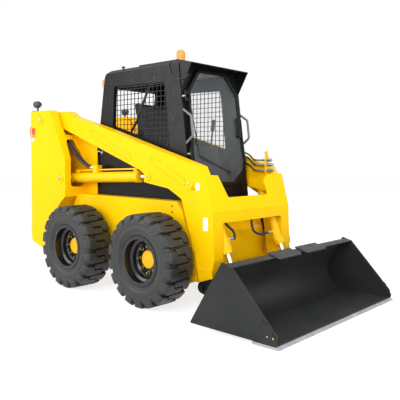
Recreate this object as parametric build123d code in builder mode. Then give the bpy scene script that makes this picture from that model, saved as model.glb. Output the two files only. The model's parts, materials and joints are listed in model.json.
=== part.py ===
"""Wheeled skid steer loader with its general purpose bucket on the ground.

Frame: +X forward, +Y left, +Z up, millimetres, origin on the ground under the middle.
Every paired piece is drawn on the left side and mirrored for the right.
"""
from build123d import *
from math import atan2, cos, degrees, hypot, radians, sin, tan
import os

os.makedirs("parts", exist_ok=True)

# ---------------------------------------------------------------- driving dimensions
# running gear
tyre_radius = 415.0          # out to the lugs
tyre_width = 296.0
lug_depth = 26.0
lugs_per_row = 18
carcass_facets = 24
rim_radius = 222.0
rim_plate = 9.0
axle_radius = 42.0
axle_tube_radius = 68.0
hub_cap_radius = 78.0
hub_cap_inset = 118.0        # from the rim's outer edge in to the cap's face
stud_count = 8
stud_circle = 118.0          # radius of the ring of wheel studs
stud_radius = 11.0
rear_axle_x = -816.0
wheelbase = 1100.0

# lower body
tub_half = 436.0             # outer face of the tub's side plates
tub_plate = 8.0
belly_z = 205.0
shelf_z = 926.0              # top of the chain cases, on which the cab stands
case_outer = tub_half + 114  # outer face of the chain cases
case_plate = 10.0
track_half = case_outer + 200  # centre plane of a tyre from the machine's middle

# towers
tower_outer = tub_half + 254
tower_plate = 10.0
tower_top_z = 1825.0
tower_rear_x = -1765.0
arch_radius = 560.0
boom_pivot = (-1565.0, tower_top_z - 99)
lift_base = (-1184.0, 1094.0)
pivot_pin_radius = 30.0
base_pin_radius = 25.0

# boom
arm_inner = tub_half + 14
arm_outer = arm_inner + 122
arm_plate = 10.0
knee = (868.0, 860.0)
bucket_hinge = (775.0, 215.0)
lift_rod_pin = (63.0, 1141.0)
tilt_top = (638.0, 1075.0)
arm_eye_radius = 88.0

# cylinders
lift_bore_radius = 53.0
lift_rod_radius = 26.0
lift_barrel_length = 1080.0
tilt_bore_radius = 42.0
tilt_rod_radius = 22.0
tilt_barrel_length = 635.0
tilt_y = arm_inner - 50
tilt_eye = (957.0, 345.0)
pin_gap = 0.05               # radial running clearance at a pin
side_gap = 6.0               # between pieces that swing past each other

# cab
cab_half = tub_half - 12
cab_wall = 36.0
cab_roof_z = 2212.0
roof_bevel = 32.0
roof_panel = 22.0
cab_rear_x = -870.0
door_lean = 0.135            # how far the front leans back for each mm of height
door_foot_x = 484.0          # front of the cab at its foot
door_thickness = 30.0
glass_thickness = 6.0

# bucket
bucket_half = 935.0
bucket_plate = 9.0
edge_plate = 19.5
edge_depth = 230.0
heel = (953.0, 26.0)
bucket_top_rear = (1275.0, 546.0)
bucket_top_front = (1369.0, 519.0)
lip_corner = (1768.0, 96.0)
floor_front = (1772.0, 22.5)
edge_tip = (1798.0, 6.0)

front_axle_x = rear_axle_x + wheelbase
arm_middle = (arm_inner + arm_outer) / 2


# ---------------------------------------------------------------- helpers
def upright(y):
    """Vertical plane along the machine at y; a sketch on it reads (x, z)."""
    return Plane.XZ.offset(-y)


def along(start, end, y):
    """Plane across the line from start to end, both (x, z), with its origin at start."""
    return Plane(origin=(start[0], y, start[1]),
                 z_dir=(end[0] - start[0], 0, end[1] - start[1]))


def off_line(start, end, distance, offset):
    """Point a distance along the line from start to end and offset to its left, all (x, z)."""
    length = span(start, end)
    ux, uz = (end[0] - start[0]) / length, (end[1] - start[1]) / length
    return (start[0] + ux * distance - uz * offset, start[1] + uz * distance + ux * offset)


def span(a, b):
    """Distance between two points (x, z)."""
    return hypot(b[0] - a[0], b[1] - a[1])


def hose(points, radius):
    """Solid hose of straight runs joined by the largest tangent arcs that its runs allow."""
    corners = [Vector(*point) for point in points]
    bends = []
    for before, corner, after in zip(corners, corners[1:], corners[2:]):
        run_in, run_out = corner - before, after - corner
        half_turn = radians(run_in.get_angle(run_out)) / 2
        bends.append(0.45 * min(run_in.length, run_out.length) / tan(half_turn))
    with BuildPart() as tube:
        with BuildLine() as route:
            FilletPolyline(*points, radius=bends)
        with BuildSketch(Plane(origin=route.line @ 0, z_dir=route.line % 0)):
            Circle(radius)
        sweep(path=route.wires()[0])
    return tube.part


def write_pair(piece, stem):
    """Write the left piece and its mirror image."""
    for side, solid in (("left", piece.part), ("right", mirror(piece.part, about=Plane.XZ))):
        solid.label = f"{stem}_{side}"
        export_step(solid, f"parts/{stem}_{side}.step")


def door_x(z):
    """Front face of the cab at height z."""
    return door_foot_x - door_lean * (z - shelf_z)


# ---------------------------------------------------------------- wheels
carcass_radius = tyre_radius - lug_depth
bead_radius = rim_radius - 17
half_width = tyre_width / 2
lug_reach = 50.0             # furthest corner of a lug round from its middle
carcass_side = [
    (118, rim_radius + 0.3), (half_width, 300), (half_width, carcass_radius - 35),
    (half_width - 36, carcass_radius),
]
wedge_side = 2 * tyre_radius
wedge_half = wedge_side * tan(radians(180 / carcass_facets))
with BuildPart() as sector:
    with BuildSketch(Plane.YZ.offset(-60)):
        Polygon(*carcass_side, *[(-y, r) for y, r in reversed(carcass_side)], align=None)
    extrude(amount=120)
    with BuildSketch(Plane.XZ.offset(-half_width)):
        Polygon((0, 0), (wedge_half, wedge_side), (-wedge_half, wedge_side), align=None)
    extrude(amount=tyre_width, mode=Mode.INTERSECT)

with BuildPart() as lug:
    with BuildSketch(Plane.XY.offset(carcass_radius - 34)):
        Polygon((34, half_width), (-14, half_width), (-lug_reach, 12), (-14, 2), (10, 56),
                align=None)
    extrude(amount=(tyre_radius**2 - lug_reach**2) ** 0.5 - carcass_radius + 34)

with BuildPart() as tyre:
    add([sector.part.rotate(Axis.Y, 360 / carcass_facets * turn) for turn in range(carcass_facets)])
    for shift, piece in ((0.25, lug.part), (-0.25, mirror(lug.part, about=Plane.XZ))):
        add([piece.rotate(Axis.Y, 360 / lugs_per_row * (turn + shift))
             for turn in range(lugs_per_row)])

cap_face = half_width - 12 - hub_cap_inset
with BuildPart() as wheel:
    # rim barrel with its flanges, dropped centre and disc
    with BuildSketch(Plane.YZ):
        with BuildLine():
            Polyline(
                (118, bead_radius - 0.3), (118, rim_radius), (126, rim_radius),
                (126, bead_radius - 12), (60, bead_radius - 14), (48, 168), (12, 164),
                (0, 150), (0, 60), (-14, 60), (-14, 156), (-4, 176), (-60, 182),
                (-74, bead_radius - 14), (-126, bead_radius - 12), (-126, rim_radius),
                (-118, rim_radius), (-118, bead_radius - 0.3), close=True,
            )
        make_face()
    revolve(axis=Axis.Y)
    # hub flange, cap and the shaft that runs in the axle tube
    with BuildSketch(Plane.YZ):
        with BuildLine():
            Polyline(
                (cap_face, 0), (cap_face, hub_cap_radius - 10), (cap_face - 10, hub_cap_radius),
                (0, hub_cap_radius), (-14, hub_cap_radius + 60), (-34, hub_cap_radius + 60),
                (-40, axle_radius), (case_outer - track_half + 12, axle_radius),
                (case_outer - track_half + 12, 0), close=True,
            )
        make_face()
    revolve(axis=Axis.Y)
    with BuildSketch(Plane.XZ):
        with PolarLocations(stud_circle, stud_count):
            Circle(stud_radius)
    extrude(amount=-24)

for name, centre_x in (("front", front_axle_x), ("rear", rear_axle_x)):
    for side, centre_y, turn in (("left", track_half, 0), ("right", -track_half, 180)):
        place = Location((centre_x, centre_y, tyre_radius), (0, 0, turn))
        for stem, source in (("tyre", tyre.part), ("wheel", wheel.part)):
            solid = source.moved(place)
            solid.label = f"{stem}_{name}_{side}"
            export_step(solid, f"parts/{stem}_{name}_{side}.step")

# ---------------------------------------------------------------- chain cases with axle tubes
tower_front_x = -1100.0
case_front_top = (425.0, shelf_z)
case_profile = [
    (tower_front_x + 0.3, shelf_z), case_front_top, (495, 850), (676, 285),
    (640, belly_z + 30), (560, belly_z), (rear_axle_x - 180, belly_z),
    (rear_axle_x - 330, 380), (rear_axle_x - 330, 780), (rear_axle_x - 300, 870),
    (tower_front_x + 0.3, 880),
]
with BuildPart() as chain_case:
    with BuildSketch(upright(tub_half)):
        Polygon(*case_profile, align=None)
    extrude(amount=-(case_outer - tub_half))
    with BuildSketch(upright(tub_half)):
        Polygon(*case_profile, align=None)
        offset(amount=-case_plate, kind=Kind.INTERSECTION, mode=Mode.REPLACE)
    extrude(amount=-(case_outer - tub_half - case_plate), mode=Mode.SUBTRACT)
    for axle_x in (front_axle_x, rear_axle_x):
        with BuildSketch(upright(case_outer)):
            with Locations((axle_x, tyre_radius)):
                Circle(axle_tube_radius)
        extrude(amount=-(track_half - 44 - case_outer))
        with BuildSketch(upright(tub_half + 40)):
            with Locations((axle_x, tyre_radius)):
                Circle(axle_radius + pin_gap)
        extrude(amount=-(track_half - tub_half), mode=Mode.SUBTRACT)
write_pair(chain_case, "chain_case")

# ---------------------------------------------------------------- tub
tub_front_x = 655.0
rail_top = 390.0
hitch_radius = 17.0
tub_outline = [
    (tower_rear_x + 90, shelf_z), (case_front_top[0], shelf_z), (600, 660), (tub_front_x, 640),
    (tub_front_x, 360), (600, belly_z), (rear_axle_x - 180, belly_z), (tower_rear_x + 90, 350),
]
with BuildPart() as tub:
    with BuildSketch(upright(-tub_half)):
        Polygon(*tub_outline, align=None)
    extrude(amount=-2 * tub_half)
    with BuildSketch(upright(-tub_half + tub_plate)):
        Polygon(*tub_outline, align=None)
        offset(amount=-tub_plate, kind=Kind.INTERSECTION, mode=Mode.REPLACE)
    extrude(amount=-2 * (tub_half - tub_plate), mode=Mode.SUBTRACT)
    # open top behind the cab and under it
    with BuildSketch(Plane.XY.offset(shelf_z - 40)):
        with Locations(((tower_rear_x + 90 + case_front_top[0]) / 2, 0)):
            Rectangle(case_front_top[0] - tower_rear_x - 90 - 120, 2 * (tub_half - tub_plate))
    extrude(amount=60, mode=Mode.SUBTRACT)
    # open rear end, closed by the rear door
    with BuildSketch(Plane.YZ.offset(tower_rear_x + 60)):
        with Locations((0, (shelf_z + 420) / 2)):
            Rectangle(2 * (tub_half - tub_plate - 20), shelf_z - 420 + 80)
    extrude(amount=60, mode=Mode.SUBTRACT)
    # engine rails across the tub, and the bumper bar under the rear door
    for rail_x in (-1480, -1100):
        with BuildSketch(upright(-tub_half + 1)):
            with Locations((rail_x, rail_top - 20)):
                Rectangle(60, 40)
        extrude(amount=-2 * tub_half + 2)
    with BuildSketch(upright(-tub_half)):
        Polygon((tower_rear_x, 350), (-1640, 350), (-1640, 412), (tower_rear_x, 412), align=None)
    extrude(amount=-2 * tub_half)
    with BuildSketch(Plane.XY.offset(340)):
        with Locations((tower_rear_x + 34, 0)):
            Circle(hitch_radius)
    extrude(amount=90, mode=Mode.SUBTRACT)
tub.part.label = "tub"
export_step(tub.part, "parts/tub.step")

# ---------------------------------------------------------------- towers
tower_front = [(-1394.0, tower_top_z), (-1330.0, boom_pivot[1] - 20), (tower_front_x, 1297.0)]
arch_start = (rear_axle_x - arch_radius, tyre_radius)
arch_end_x = tower_front_x
arch_end = (arch_end_x, tyre_radius + (arch_radius**2 - (arch_end_x - rear_axle_x) ** 2) ** 0.5)
arch_turn = (degrees(atan2(arch_end[1] - tyre_radius, rear_axle_x - arch_end_x))) / 2
arch_mid = (
    rear_axle_x - arch_radius * cos(radians(arch_turn)),
    tyre_radius + arch_radius * sin(radians(arch_turn)),
)


def tower_outline():
    """Closed outline of a tower's side plate."""
    with BuildLine() as outline:
        Polyline(
            arch_end, tower_front[2], tower_front[1], tower_front[0],
            (tower_rear_x, tower_top_z), (tower_rear_x, 364), (-1587, 310),
            (arch_start[0] - 40, 290), arch_start,
        )
        ThreePointArc(arch_start, arch_mid, arch_end)
    return outline.line


front_plate_top = boom_pivot[1] - 166
with BuildPart() as tower:
    with BuildSketch(upright(tub_half)):
        add(tower_outline())
        make_face()
    extrude(amount=-(tower_outer - tub_half))
    with BuildSketch(upright(tub_half)):
        add(tower_outline())
        make_face()
        offset(amount=-tower_plate, kind=Kind.INTERSECTION, mode=Mode.REPLACE)
        # the top stays open for the arm
        Polygon((tower_rear_x + tower_plate, boom_pivot[1] - 26),
                (tower_rear_x + tower_plate, tower_top_z + 50), (-1420, tower_top_z + 50),
                (-1340, boom_pivot[1] - 26), align=None)
    extrude(amount=-(tower_outer - tub_half - tower_plate), mode=Mode.SUBTRACT)
    # the front plate stops below the arm
    with BuildSketch(upright(tub_half)):
        Polygon((-1500, front_plate_top), (-1150, front_plate_top), (-1150, tower_top_z + 75),
                (-1500, tower_top_z + 75), align=None)
    extrude(amount=-(arm_outer + 13 - tub_half), mode=Mode.SUBTRACT)
    # slot for the lift cylinder and its hoses
    with BuildSketch(Plane.YZ.offset(-1400)):
        with BuildLine():
            FilletPolyline(
                (arm_inner - 2, 1000), (arm_outer + 45, 1000), (arm_outer + 45, 1290),
                (arm_outer + 24, front_plate_top - 50), (arm_inner + 50, front_plate_top - 50),
                (arm_inner - 2, 1290), radius=38, close=True,
            )
        make_face()
    extrude(amount=340, mode=Mode.SUBTRACT)
    # inner wall, running forward beside the cab
    with BuildSketch(upright(tub_half - tub_plate)):
        Polygon(
            (tower_rear_x, tower_top_z), (-1420, tower_top_z), (-1200, front_plate_top), (-878, 1436),
            (-878, shelf_z), (tower_rear_x, shelf_z), align=None,
        )
    extrude(amount=-tub_plate)
    # pin bosses
    for (px, pz), radius in ((boom_pivot, pivot_pin_radius), (lift_base, base_pin_radius)):
        for start, depth in ((tub_half, side_gap + 2), (tower_outer - 40, 30)):
            with BuildSketch(upright(start)):
                with Locations((px, pz)):
                    Circle(radius + 24)
            extrude(amount=-depth)
        with BuildSketch(upright(tub_half - 30)):
            with Locations((px, pz)):
                Circle(radius + pin_gap)
        extrude(amount=-(tower_outer - tub_half + 60), mode=Mode.SUBTRACT)
    # tie-down lug low on the rear edge
    with BuildSketch(upright(tower_outer - 26)):
        Polygon((tower_rear_x + 1, 548), (tower_rear_x - 31, 505), (tower_rear_x - 31, 440),
                (tower_rear_x + 1, 396), align=None)
        with Locations((tower_rear_x - 10, 472)):
            Circle(11, mode=Mode.SUBTRACT)
    extrude(amount=-16)
write_pair(tower, "tower")

with BuildPart() as pins:
    for side in (1, -1):
        for (px, pz), radius in ((boom_pivot, pivot_pin_radius), (lift_base, base_pin_radius)):
            with BuildSketch(upright(side * (tub_half - tub_plate))):
                with Locations((px, pz)):
                    Circle(radius)
            extrude(amount=-side * (tower_outer - tub_half + tub_plate + 16))
            with BuildSketch(upright(side * tower_outer)):
                with Locations((px, pz)):
                    RectangleRounded(2 * radius + 50, 2 * radius + 14, 12, rotation=-35)
            extrude(amount=-side * 8)
pins.part.label = "pivot_pins"
export_step(pins.part, "parts/pivot_pins.step")

# ---------------------------------------------------------------- arms
leg_rear = (731.0, 219.0)
arm_front = (785.0, 1168.0)
cheek_elbow = (((668, 460), 900), ((506, 955), 52), ((300, 1062), 450))
box_elbow = (((612, 1003), 70),)
embosses = (
    # lower left end, upper right end, width
    ((-799.0, 1577.0), (-212.0, 1322.0), 64.0),
    ((141.0, 1296.0), (526.0, 1114.0), 64.0),
)


def arm_outline(elbow):
    """Side outline of a lift arm, from its pivot eye round to the bucket hinge."""
    pivot_x, pivot_z = boom_pivot
    with BuildLine() as outline:
        top = FilletPolyline(
            (pivot_x, pivot_z + arm_eye_radius), (-1238, pivot_z + 85), (-1137, pivot_z + 24),
            (-651, pivot_z - 97), (700, 1244), (738, 1170), arm_front, knee, (889, 447), (838, 215),
            radius=(20, 20, 200, 30, 24, 8, 8, 60),
        )
        tip = ThreePointArc(
            top @ 1, (bucket_hinge[0] + 18, bucket_hinge[1] - 60), (leg_rear[0] + 2, 190),
        )
        rear = FilletPolyline(
            tip @ 1, leg_rear, *[corner for corner, _ in elbow], (14, 1088),
            radius=(10, *[radius for _, radius in elbow]),
        )
        under = Polyline(rear @ 1, (14, 1164), (-42, 1200), (-1288, pivot_z - 103),
                         (pivot_x, pivot_z - arm_eye_radius))
        ThreePointArc(under @ 1, (pivot_x - arm_eye_radius, pivot_z), top @ 0)
    return outline.line


with BuildPart() as arm:
    with BuildSketch(upright(arm_inner)):
        add(arm_outline(box_elbow))
        make_face()
    extrude(amount=-(arm_outer - arm_inner))
    # the outer cheek reaches further round the elbow
    with BuildSketch(upright(arm_outer - arm_plate)):
        add(arm_outline(cheek_elbow))
        make_face()
    extrude(amount=-arm_plate)
    # hollow box between the cheeks, open round the rod eye
    with BuildSketch(upright(arm_inner + arm_plate)):
        add(arm_outline(box_elbow))
        make_face()
        offset(amount=-arm_plate, kind=Kind.INTERSECTION, mode=Mode.REPLACE)
        Polygon((-60, 1150), (-60, 1290), (190, 1220), (190, 1030), (-20, 1060), align=None)
    extrude(amount=-(arm_outer - arm_inner - 2 * arm_plate), mode=Mode.SUBTRACT)
    # eyes for the pivot and the bucket hinge, and the bosses of the cylinder pins
    for (px, pz), radius in ((boom_pivot, arm_eye_radius - 12), (bucket_hinge, 52), (tilt_top, 44)):
        with BuildSketch(upright(arm_inner)):
            with Locations((px, pz)):
                Circle(radius)
        extrude(amount=-(arm_outer - arm_inner))
    for (px, pz), radius in ((lift_rod_pin, 42), (tilt_top, 34)):
        with BuildSketch(upright(arm_outer)):
            with Locations((px, pz)):
                Circle(radius)
        extrude(amount=-12)
    for (px, pz), radius in ((boom_pivot, pivot_pin_radius), (bucket_hinge, 27)):
        with BuildSketch(upright(arm_inner - 5)):
            with Locations((px, pz)):
                Circle(radius + pin_gap)
        extrude(amount=-(arm_outer - arm_inner + 30), mode=Mode.SUBTRACT)
    # long pressed panels in the outer cheek
    for start, end, width in embosses:
        lean = degrees(atan2(end[1] - start[1], end[0] - start[0]))
        with BuildSketch(upright(arm_outer)):
            with Locations(((start[0] + end[0]) / 2, (start[1] + end[1]) / 2)):
                SlotOverall(span(start, end), width, rotation=lean)
        extrude(amount=3, mode=Mode.SUBTRACT)
write_pair(arm, "arm")

# ---------------------------------------------------------------- front cross between the arms
cross_bottom = (871.0, 763.0)
cross_plate = 12.0
notch_z = 975.0
notch_half = arm_inner - 125
box_half = 330.0
box_depth = 52.0
corner_radius = 40.0
tilt_pin_radius = 22.0
ear_plate = 10.0
ear_face = tilt_y - tilt_bore_radius - side_gap - ear_plate
with BuildPart() as cross:
    with BuildSketch(upright(-arm_inner)):
        Polygon(
            arm_front, knee, cross_bottom, (cross_bottom[0], cross_bottom[1] - corner_radius),
            (cross_bottom[0] - cross_plate, cross_bottom[1] - corner_radius),
            (knee[0] - cross_plate, knee[1] - 2), (arm_front[0] - cross_plate, arm_front[1] - 3),
            align=None,
        )
    extrude(amount=-2 * arm_inner)
    # window over the bucket, with round upper corners
    with BuildSketch(Plane.YZ.offset(cross_bottom[0] - 60)):
        with Locations((0, cross_bottom[1] - 200)):
            RectangleRounded(2 * arm_inner - 1, 400, corner_radius)
    extrude(amount=120, mode=Mode.SUBTRACT)
    # stiffening box behind its middle
    with BuildSketch(upright(-box_half)):
        Polygon(
            (knee[0] - 6, knee[1]), (cross_bottom[0] - 6, cross_bottom[1]),
            (cross_bottom[0] - 6 - box_depth, cross_bottom[1]),
            (cross_bottom[0] - 6 - box_depth, notch_z - 10), (knee[0] - 38, notch_z - 10),
            align=None,
        )
    extrude(amount=-2 * box_half)
    # notch in front of the cab door, wider on the coupler side's plate
    with BuildSketch(Plane.YZ.offset(600)):
        with BuildLine():
            FilletPolyline(
                (-notch_half - 130, 1300), (-notch_half - 85, arm_front[1]), (-notch_half, notch_z),
                (notch_half - 56, notch_z), (notch_half - 87, 1100), (notch_half + 5, arm_front[1]),
                (notch_half + 20, 1300), radius=(20, 30, 20, 20, 20, 20, 20), close=True,
            )
        make_face()
    extrude(amount=300, mode=Mode.SUBTRACT)
    # ears of the tilt cylinders' top pins, and the pins
    for side, radius, plate_corners in (
        (1, 52, ((558, 1044), (552, 1120), (778, 1134), (824, 985))),
        (-1, 35, ((822, 1000), (844, 905))),
    ):
        with BuildSketch(upright(side * ear_face)):
            with Locations(tilt_top):
                Circle(radius)
            Polygon(tilt_top, *plate_corners, align=None)
            make_hull()
        extrude(amount=-side * ear_plate)
        with BuildSketch(upright(side * ear_face)):
            with Locations(tilt_top):
                Circle(tilt_pin_radius)
        extrude(amount=-side * (arm_inner - ear_face))
cross.part.label = "front_cross"
export_step(cross.part, "parts/front_cross.step")

# ---------------------------------------------------------------- auxiliary couplers on the left arm
coupler_x = 590.0            # where the hoses meet the couplers
coupler_radius = 13.0
coupler_y = tilt_y + 20
bracket_x = 730.0
coupler_rows = (
    # height, front end
    (1300.0, 772.0),
    (1253.0, 790.0),
    (1200.0, 802.0),
)
with BuildPart() as quick_couplers:
    for height, front in coupler_rows:
        for start, end, radius in (
            (coupler_x, coupler_x + 70, coupler_radius - 3), (coupler_x + 70, front - 60, coupler_radius),
            (front - 60, front - 12, coupler_radius + 5), (front - 12, front, coupler_radius - 3),
        ):
            with BuildSketch(Plane.YZ.offset(start)):
                with Locations((coupler_y, height)):
                    Circle(radius)
            extrude(amount=end - start)
quick_couplers.part.label = "quick_couplers"
export_step(quick_couplers.part, "parts/quick_couplers.step")

with BuildPart() as bracket:
    with BuildSketch(Plane.YZ.offset(bracket_x - 30)):
        with Locations(((coupler_y - 22 + arm_inner) / 2, 1258)):
            Rectangle(arm_inner - coupler_y + 22, 184)
        with Locations(*[(coupler_y, height) for height, _ in coupler_rows]):
            Circle(coupler_radius + 0.3, mode=Mode.SUBTRACT)
    extrude(amount=12)
    with BuildSketch(Plane.XY.offset(1349)):
        with Locations((bracket_x - 24, coupler_y)):
            Circle(8)
    extrude(amount=14)
    with Locations((bracket_x - 24, coupler_y, 1372)):
        Sphere(19)
bracket.part.label = "coupler_bracket"
export_step(bracket.part, "parts/coupler_bracket.step")

hose_y = arm_inner - 9.5
aux_routes = (
    # one line of (x, z) for each hose, from its coupler back along the arm
    ((550, 1300), (508, 1338), (455, 1366), (390, 1378), (320, 1362), (258, 1330)),
    ((550, 1253), (508, 1295), (460, 1327), (395, 1340), (325, 1325), (255, 1290)),
    ((550, 1200), (508, 1238), (460, 1262), (395, 1271), (325, 1260), (255, 1232)),
)
with BuildPart() as aux_hoses:
    for (height, _), route in zip(coupler_rows, aux_routes):
        steps = (coupler_y, coupler_y + 8, coupler_y + 17, *[hose_y] * 3)
        add(hose([(coupler_x - 0.3, coupler_y, height),
                  *[(x, y, z) for (x, z), y in zip(route, steps)]], 8))
aux_hoses.part.label = "aux_hoses"
export_step(aux_hoses.part, "parts/aux_hoses.step")

# ---------------------------------------------------------------- cylinders
cylinders = (
    # stem, base pin, rod pin, y, bore, rod radius, barrel length, base pin radius,
    # rod's length inside the barrel, depth of the bore
    ("lift", lift_base, lift_rod_pin, arm_middle, lift_bore_radius, lift_rod_radius,
     lift_barrel_length, base_pin_radius, 930.0, 945.0),
    ("tilt", tilt_top, tilt_eye, tilt_y, tilt_bore_radius, tilt_rod_radius,
     tilt_barrel_length, tilt_pin_radius, 395.0, 495.0),
)
tilt_port = 506.0            # hose port along the tilt barrel
hose_stand = 98.0            # hose end in from the tilt barrel's middle
port_blocks = {
    "lift": (
        # start and end along the barrel, lower and upper offset from its axis, y from its middle
        (50.0, 92.0, 40.0, 86.0, -16.0, 16.0),
        (375.0, 445.0, 40.0, 126.0, -34.0, 34.0),
        (1000.0, 1045.0, 40.0, 86.0, -16.0, 16.0),
        (60.0, 1030.0, 70.0, 84.0, -7.0, 7.0),
    ),
    "tilt": (
        (tilt_port - 16, tilt_port + 96, -15.0, 15.0, -62.0, -30.0),
        (tilt_port - 9, tilt_port + 9, -9.0, 9.0, -hose_stand + 0.3, -60.0),
    ),
}
for stem, base, rod_end, y, bore, rod_radius, length, pin, inserted, depth in cylinders:
    lengthwise = along(base, rod_end, y)
    with BuildPart() as barrel:
        with BuildSketch(lengthwise.offset(pin + 12)):
            Circle(bore)
        extrude(amount=length - pin - 12)
        with BuildSketch(lengthwise.offset(length - 60)):
            Circle(bore + 5)
        extrude(amount=60)
        with BuildSketch(upright(y - bore + 4)):
            with Locations(base):
                Circle(pin + 26)
        extrude(amount=-2 * (bore - 4))
        for start, end, low, high, near, far in port_blocks[stem]:
            corners = ((start, low), (end, low), (end, high), (start, high))
            with BuildSketch(upright(y + near)):
                Polygon(*[off_line(base, rod_end, *corner) for corner in corners], align=None)
            extrude(amount=near - far)
        with BuildSketch(lengthwise.offset(length - depth)):
            Circle(rod_radius + 0.3)
        extrude(amount=depth + 20, mode=Mode.SUBTRACT)
        with BuildSketch(upright(y - bore - 5)):
            with Locations(base):
                Circle(pin + pin_gap)
        extrude(amount=-2 * (bore + 10), mode=Mode.SUBTRACT)
    write_pair(barrel, f"{stem}_barrel")
    reach = span(base, rod_end)
    with BuildPart() as rod:
        with BuildSketch(lengthwise.offset(length - inserted)):
            Circle(rod_radius)
        extrude(amount=reach - length + inserted)
        with BuildSketch(upright(y - rod_radius - 2)):
            with Locations(rod_end):
                Circle(rod_radius + 14)
        extrude(amount=-2 * (rod_radius + 2))
    write_pair(rod, f"{stem}_rod")

# hoses that turn with the cylinders they feed
block_end = off_line(lift_base, lift_rod_pin, 374.7, 105)
lift_hose_radius = 13.0
lift_routes = (
    # y from the cylinder's middle at the tower, then along to its port block
    (60.0, 52.0, 40.0, 26.0, 17.0, 17.0),
    (28.0, 18.0, 4.0, -8.0, -17.0, -17.0),
)
lift_steps = ((-1268, 1500), (-1180, 1427), (-1089, 1330), (-985, 1250),
              (-893, block_end[1] - 3), block_end)
with BuildPart() as lift_hoses:
    for shifts in lift_routes:
        add(hose([(x, arm_middle + shift, z) for (x, z), shift in zip(lift_steps, shifts)],
                 lift_hose_radius))
write_pair(lift_hoses, "lift_hoses")

tilt_hose_radius = 12.0
port_x, port_z = off_line(tilt_top, tilt_eye, tilt_port, 0)
tilt_routes = {
    # x, y from the left or right cylinder's middle towards the machine's, z
    "left": ((735, 250, 880), (745, 270, 790), (805, 342, 700), (824, 338, 640), (832, 260, 603),
             (port_x, 150, port_z), (port_x, hose_stand, port_z)),
    "right": ((702, 85, 900), (736, 75, 830), (786, 100, 735), (820, 182, 662), (832, 178, 596),
              (port_x, 126, port_z), (port_x, hose_stand, port_z)),
}
for (side, route), sign in zip(tilt_routes.items(), (1, -1)):
    tilt_hose = hose([(x, sign * (tilt_y - y), z) for x, y, z in route], tilt_hose_radius)
    tilt_hose.label = f"tilt_hose_{side}"
    export_step(tilt_hose, f"parts/tilt_hose_{side}.step")

# ---------------------------------------------------------------- bucket
heel_radius = 199.0
top_radius = 69.0
wing_plate = 12.0            # the bucket's side plates
back_plate_half = 640.0
step_half_width = 168.0
step_middle = 208.0


def behind(along_back, distance):
    """Point at a height along the bucket's back and a distance behind it."""
    return off_line(heel, bucket_top_rear, along_back, distance)


def wrapper_line(inset):
    """Bend line of the bucket's floor, back and top flange, moved inwards by inset."""
    tops = (bucket_top_rear, bucket_top_front)
    top_reach = span(*tops)
    floor_reach = span(heel, floor_front)
    back_top = back_length - inset / tan(top_angle / 2)
    return FilletPolyline(
        off_line(heel, floor_front, floor_reach, inset),
        behind(inset / tan(heel_angle / 2), -inset), behind(back_top, -inset),
        off_line(*tops, top_reach, -inset), radius=(heel_radius - inset, top_radius - inset),
    )


back_length = span(heel, bucket_top_rear)
back_lean = atan2(bucket_top_rear[1] - heel[1], bucket_top_rear[0] - heel[0])
floor_lean = atan2(floor_front[1] - heel[1], floor_front[0] - heel[0])
top_lean = atan2(bucket_top_front[1] - bucket_top_rear[1], bucket_top_front[0] - bucket_top_rear[0])
heel_angle = back_lean - floor_lean
top_angle = radians(180) - back_lean + top_lean

with BuildSketch() as wrapper_section:
    with BuildLine():
        outer_line = wrapper_line(0)
        inner_line = wrapper_line(bucket_plate)
        Line(outer_line @ 0, inner_line @ 0)
        Line(outer_line @ 1, inner_line @ 1)
    make_face()
with BuildSketch() as bucket_inside:
    with BuildLine():
        inner_line = wrapper_line(bucket_plate)
        Polyline(inner_line @ 1, (1900, 700), (1900, floor_front[1]), inner_line @ 0)
    make_face()

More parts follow.
